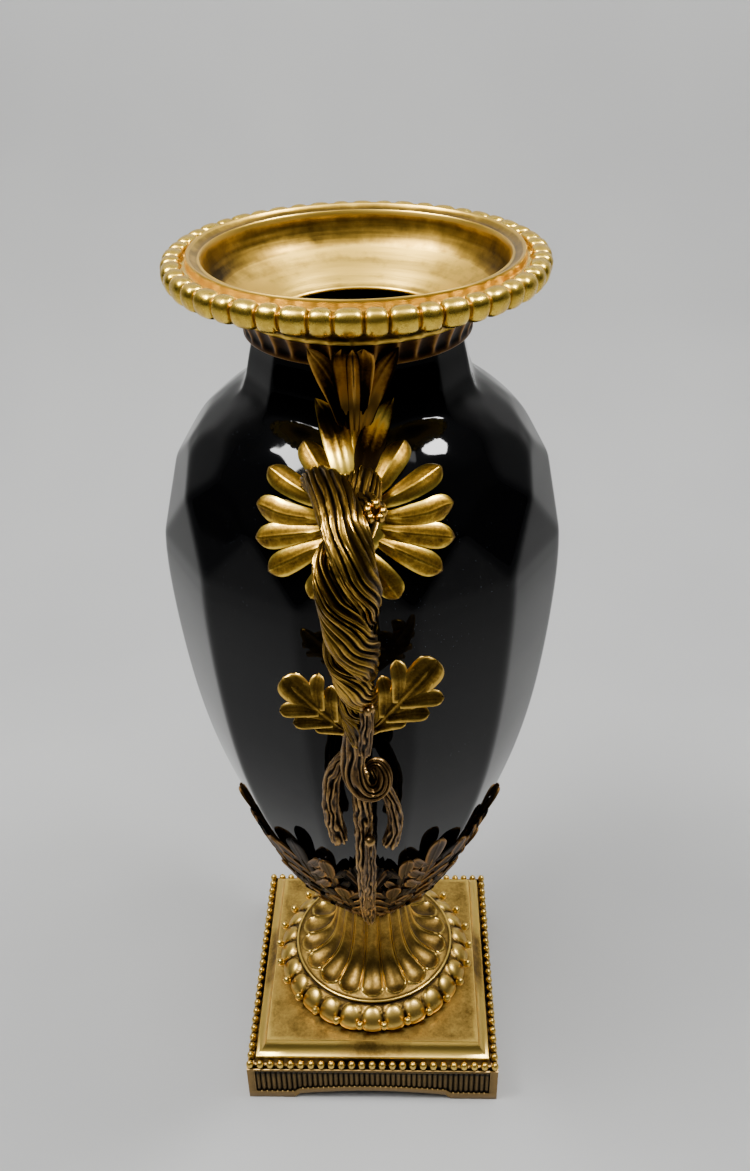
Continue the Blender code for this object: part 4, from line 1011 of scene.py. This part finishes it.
def spun_brass():
    """Spun and lacquered brass: faint rings stretch its reflections, and it has browned in patches."""
    made, tree, shader, place = new_finish("spun gilt brass")
    flat = add(tree, "ShaderNodeMapping", {"Vector": place}, {"Scale": (6.0, 6.0, 160.0)}).outputs["Vector"]
    turnings = grain(tree, flat, 1.0, 4.0)
    patch = grain(tree, place, 60.0, 4.0, 0.6)
    crest = add(tree, "ShaderNodeAttribute", attribute_name="crest").outputs["Fac"]
    tone = scaled_sum(tree, scaled_sum(tree, turnings, 0.9, patch), 0.55, crest)
    colour = ramp(tree, tone, [(0.62, "#382A0E"), (0.84, "#94742A"), (1.0, "#DDB44A")])
    bump = add(tree, "ShaderNodeBump", {"Height": turnings}, {"Strength": 0.35, "Distance": 1.0 * MM})
    feed(tree, shader, {"Base Color": colour, "Roughness": ranged(tree, turnings, 0.3, 0.7, 0.26, 0.42),
                        "Normal": bump.outputs["Normal"]}, {"Metallic": 1.0})
    return made


def black_glaze():
    """Black glazed porcelain: deep glassy black that mirrors the room, with a little pale dust lying on it."""
    made, tree, shader, place = new_finish("black glazed porcelain")
    cells = add(tree, "ShaderNodeTexVoronoi", {"Vector": place}, {"Scale": 330.0}).outputs["Distance"]
    near = ranged(tree, cells, 0.03, 0.10, 1.0, 0.0)
    few = ranged(tree, grain(tree, place, 16.0, 2.0), 0.5, 0.72)
    dust = add(tree, "ShaderNodeMath", {0: near, 1: few}, operation="MULTIPLY").outputs[0]
    film = ranged(tree, grain(tree, place, 45.0, 3.0), 0.3, 0.8, 0.035, 0.07)
    feed(tree, shader, {"Base Color": ramp(tree, dust, [(0.0, "#050506"), (1.0, "#5E6670")]),
                        "Roughness": scaled_sum(tree, dust, 0.5, film)},
         {"IOR": 1.5, "Specular IOR Level": 0.15})
    return made


def finishes():
    """All the finishes by the part of the vase that has them."""
    bright = [(0.16, "#241A08"), (0.38, "#7A5C1A"), (0.56, "#C09A38"), (0.86, "#F0CC50")]
    satin = [(0.20, "#241A0C"), (0.40, "#6C5426"), (0.56, "#A88842"), (0.84, "#DCB85A")]
    # Upright faces of the plinth: the platform's gilt brass in darker stops, which is painted shade
    frieze_painted_shade = [(0.22, "#100C07"), (0.42, "#2C220F"), (0.58, "#4E3D1E"), (0.84, "#80663A")]
    leafy = [(0.26, "#1A1005"), (0.46, "#543C12"), (0.66, "#987424"), (0.96, "#F0CA52")]
    dull_leaf = [(0.22, "#1A1008"), (0.42, "#513612"), (0.58, "#845E22"), (0.84, "#B88A3C")]
    antique = [(0.32, "#0A0603"), (0.54, "#2C1E0A"), (0.72, "#6C521C"), (1.0, "#CCA044")]
    bark = [(0.28, "#080502"), (0.48, "#2A1C0C"), (0.64, "#62492A"), (0.90, "#AC8850")]
    vine_leaf = [(0.26, "#140D05"), (0.50, "#40300F"), (0.68, "#7C5E22"), (0.96, "#DAB050")]
    brown = [(0.28, "#0E0905"), (0.50, "#2A1C0E"), (0.66, "#4C361E"), (0.92, "#8E6A3C")]
    copper = [(0.25, "#140C05"), (0.45, "#3A240E"), (0.60, "#62431C"), (0.84, "#966E3A")]
    return {
        "rim": cast_brass("gilt brass, rubbed rim", bright, 12.0, 2.0, 0.50, 0.50, 0.24, 0.50),
        "mouth": spun_brass(),
        "foot": cast_brass("gilt brass, foot and platform", satin, 16.0, 2.2, 0.50, 0.32, 0.30, 0.50),
        # The plinth's upright faces take the darker stops: painted shade on the same gilt brass as the
        # platform
        "frieze": cast_brass("gilt brass darkened as painted shade", frieze_painted_shade, 16.0, 2.0, 0.24, 0.24, 0.40, 0.62),
        "petals": cast_brass("gilt brass, petals", leafy, 10.0, 1.8, 0.45, 0.60, 0.28, 0.52),
        "neck_leaf": cast_brass("gilt brass, browned leaf", dull_leaf, 12.0, 1.8, 0.34, 0.40, 0.36, 0.60),
        "vine": cast_brass("antiqued brass vine", antique, 14.0, 1.6, 0.30, 0.30, 0.26, 0.58),
        "bark": cast_brass("brown antiqued brass bark", bark, 14.0, 1.6, 0.26, 0.26, 0.34, 0.60),
        "vine_leaf": cast_brass("antiqued brass leaf", vine_leaf, 9.0, 1.6, 0.40, 0.40, 0.30, 0.58),
        "cup": cast_brass("brown patinated bronze", brown, 14.0, 1.8, 0.22, 0.26, 0.40, 0.62),
        "collar": cast_brass("coppery lacquered brass", copper, 14.0, 2.0, 0.26, 0.24, 0.36, 0.56),
        "glaze": black_glaze(),
    }


# Studio

CAMERA_PLACE = (0.0257, -0.5746, 0.7619)
CAMERA_YAW = 1.9421
CAMERA_PITCH = 32.7968
CAMERA_ROLL = -1.1688
CAMERA_LENS = 34.14
FLOOR_HALF = 9.0
SWEEP = [(0.2, 0.0), (0.40, 0.0), (0.50, 0.006), (0.60, 0.03), (0.70, 0.08), (0.80, 0.17), (0.88, 0.31),
         (0.94, 0.55),
         (0.97, 1.0), (0.98, 2.6)]


def camera():
    """The camera that took the photo, as fitted to the body, the rim and the plinth."""
    yaw, pitch, roll = (math.radians(a) for a in (CAMERA_YAW, CAMERA_PITCH, CAMERA_ROLL))
    ahead = Vector((-math.sin(yaw) * math.cos(pitch), math.cos(yaw) * math.cos(pitch), -math.sin(pitch)))
    right = Vector((math.cos(yaw), math.sin(yaw), 0.0))
    up = right.cross(ahead)
    tilted_right = math.cos(roll) * right + math.sin(roll) * up
    tilted_up = -math.sin(roll) * right + math.cos(roll) * up
    lens = bpy.data.cameras.new("camera")
    lens.sensor_width = 36.0
    lens.lens = CAMERA_LENS
    lens.clip_start = 0.02
    made = bpy.data.objects.new("camera", lens)
    made.matrix_world = Matrix((tilted_right, tilted_up, -ahead)).transposed().to_4x4()
    made.location = CAMERA_PLACE
    bpy.context.scene.collection.objects.link(made)
    bpy.context.scene.camera = made


def panel_light(name, place, target, size, power, on_matt=True, on_gloss=True):
    """A flat lamp aimed at a target; on_matt and on_gloss say which kinds of surface it shines on."""
    lamp = bpy.data.lights.new(name, "AREA")
    lamp.shape = "RECTANGLE"
    lamp.size, lamp.size_y = size
    lamp.energy = power
    made = bpy.data.objects.new(name, lamp)
    made.location = place
    made.rotation_euler = (Vector(target) - Vector(place)).to_track_quat("-Z", "Y").to_euler()
    made.visible_diffuse = on_matt
    made.visible_glossy = on_gloss
    bpy.context.scene.collection.objects.link(made)


def paper_sweep():
    """Pale matt paper that lies under the vase and sweeps up behind it, clear when seen from behind."""
    line = [(0, -FLOOR_HALF, 0.0), (0, -1.0, 0.0)] + [tuple(p) for p in turned_line(SWEEP, 6)]
    edges = (-FLOOR_HALF, FLOOR_HALF)
    points, faces = skin([[Vector((x, p[1], max(0.0, p[2]))) for x in edges] for p in line], around=False)
    mesh = bpy.data.meshes.new("backdrop")
    mesh.from_pydata([tuple(p) for p in points], [], faces)
    mesh.polygons.foreach_set("use_smooth", [True] * len(mesh.polygons))
    backdrop = bpy.data.objects.new("backdrop", mesh)
    bpy.context.scene.collection.objects.link(backdrop)
    paper, tree, shader, place = new_finish("pale matt paper")
    mottle = ramp(tree, grain(tree, place, 3.0, 2.0), [(0.3, "#CBCBCA"), (0.7, "#D4D4D2")])
    feed(tree, shader, {"Base Color": mottle}, {"Roughness": 0.75})
    behind = add(tree, "ShaderNodeNewGeometry").outputs["Backfacing"]
    clear = add(tree, "ShaderNodeBsdfTransparent").outputs["BSDF"]
    one_sided = add(tree, "ShaderNodeMixShader", {0: behind, 1: shader.outputs["BSDF"], 2: clear})
    feed(tree, tree.nodes["Material Output"], {"Surface": one_sided.outputs["Shader"]})
    mesh.materials.append(paper)


def room():
    """The room: dark low down and pale overhead in reflections, plain pale grey where the camera sees it."""
    world = bpy.data.worlds.new("room")
    bpy.context.scene.world = world
    world.use_nodes = True
    tree = world.node_tree
    sky = add(tree, "ShaderNodeTexCoord").outputs["Generated"]
    up = add(tree, "ShaderNodeSeparateXYZ", {0: sky}).outputs["Z"]
    tone = ramp(tree, up, [(0.0, "#1A1B1C"), (0.2, "#38393A"), (0.6, "#4C4E50"), (0.95, "#B4B6BA")])
    seen = add(tree, "ShaderNodeLightPath").outputs["Is Camera Ray"]
    pale = add(tree, "ShaderNodeMix", {0: seen, 6: tone}, {7: paint("#B9B9B8")}, data_type="RGBA").outputs[2]
    feed(tree, tree.nodes["Background"], {"Color": pale}, {"Strength": 1.0})


def studio():
    """Backdrop, room and lamps. A lamp's glint is a second lamp that only glossy surfaces reflect."""
    paper_sweep()
    room()
    vase, floor, wall = (0, 0, 0.45), (0, 0.1, 0.0), (0, 1.0, 0.5)
    panel_light("window_left", (-0.86, -0.20, 1.95), vase, (0.56, 0.44), 20.0)
    panel_light("window_left_glint", (-0.86, -0.20, 1.96), vase, (0.56, 0.44), 50.0, on_matt=False)
    panel_light("lamp_right", (0.93, 0.02, 1.90), vase, (0.34, 0.34), 15.0)
    panel_light("lamp_right_glint", (0.93, 0.02, 1.91), vase, (0.34, 0.34), 34.0, on_matt=False)
    panel_light("ceiling_wash", (0.0, -0.9, 2.6), floor, (1.6, 0.9), 14.0, on_gloss=False)
    panel_light("ceiling_sheen", (0.0, -0.9, 2.6), floor, (1.6, 0.9), 5.0, on_matt=False)
    panel_light("wall_wash", (0.0, -0.3, 2.5), wall, (1.6, 0.5), 13.0)


def main():
    """Dresses the solids of the frame."""
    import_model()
    camera()
    look = finishes()
    vase_body(look["glaze"])
    mouth_rim(look["rim"])
    mouth_funnel(look["mouth"])
    neck_collar(look["collar"])
    foot(look["foot"])
    plinth(look["frieze"], look["foot"])
    leaf_cup(look["cup"])
    petals = palmette()
    lower_leaf, upper_leaf = neck_leaf()
    for node, turn in (("palmette_front", lambda parts: parts), ("palmette_back", turned_to_back)):
        piece(node + "_petals", turn(petals), look["petals"], node, passes=7, spread=1.1 * MM)
        piece(node + "_lower_leaf", turn(lower_leaf), look["petals"], node, passes=5, spread=0.6 * MM)
        piece(node + "_upper_leaf", turn(upper_leaf), look["neck_leaf"], node, passes=5, spread=0.6 * MM)
    groups = handle()
    for node, turn in (("handle_front", lambda parts: parts), ("handle_back", turned_to_back)):
        for part, group in zip(("vine", "bark", "vine_leaf"), groups):
            piece(node + "_" + part, turn(group), look[part], node, passes=8, spread=1.0 * MM)
    studio()
    bpy.context.view_layer.update()


main()
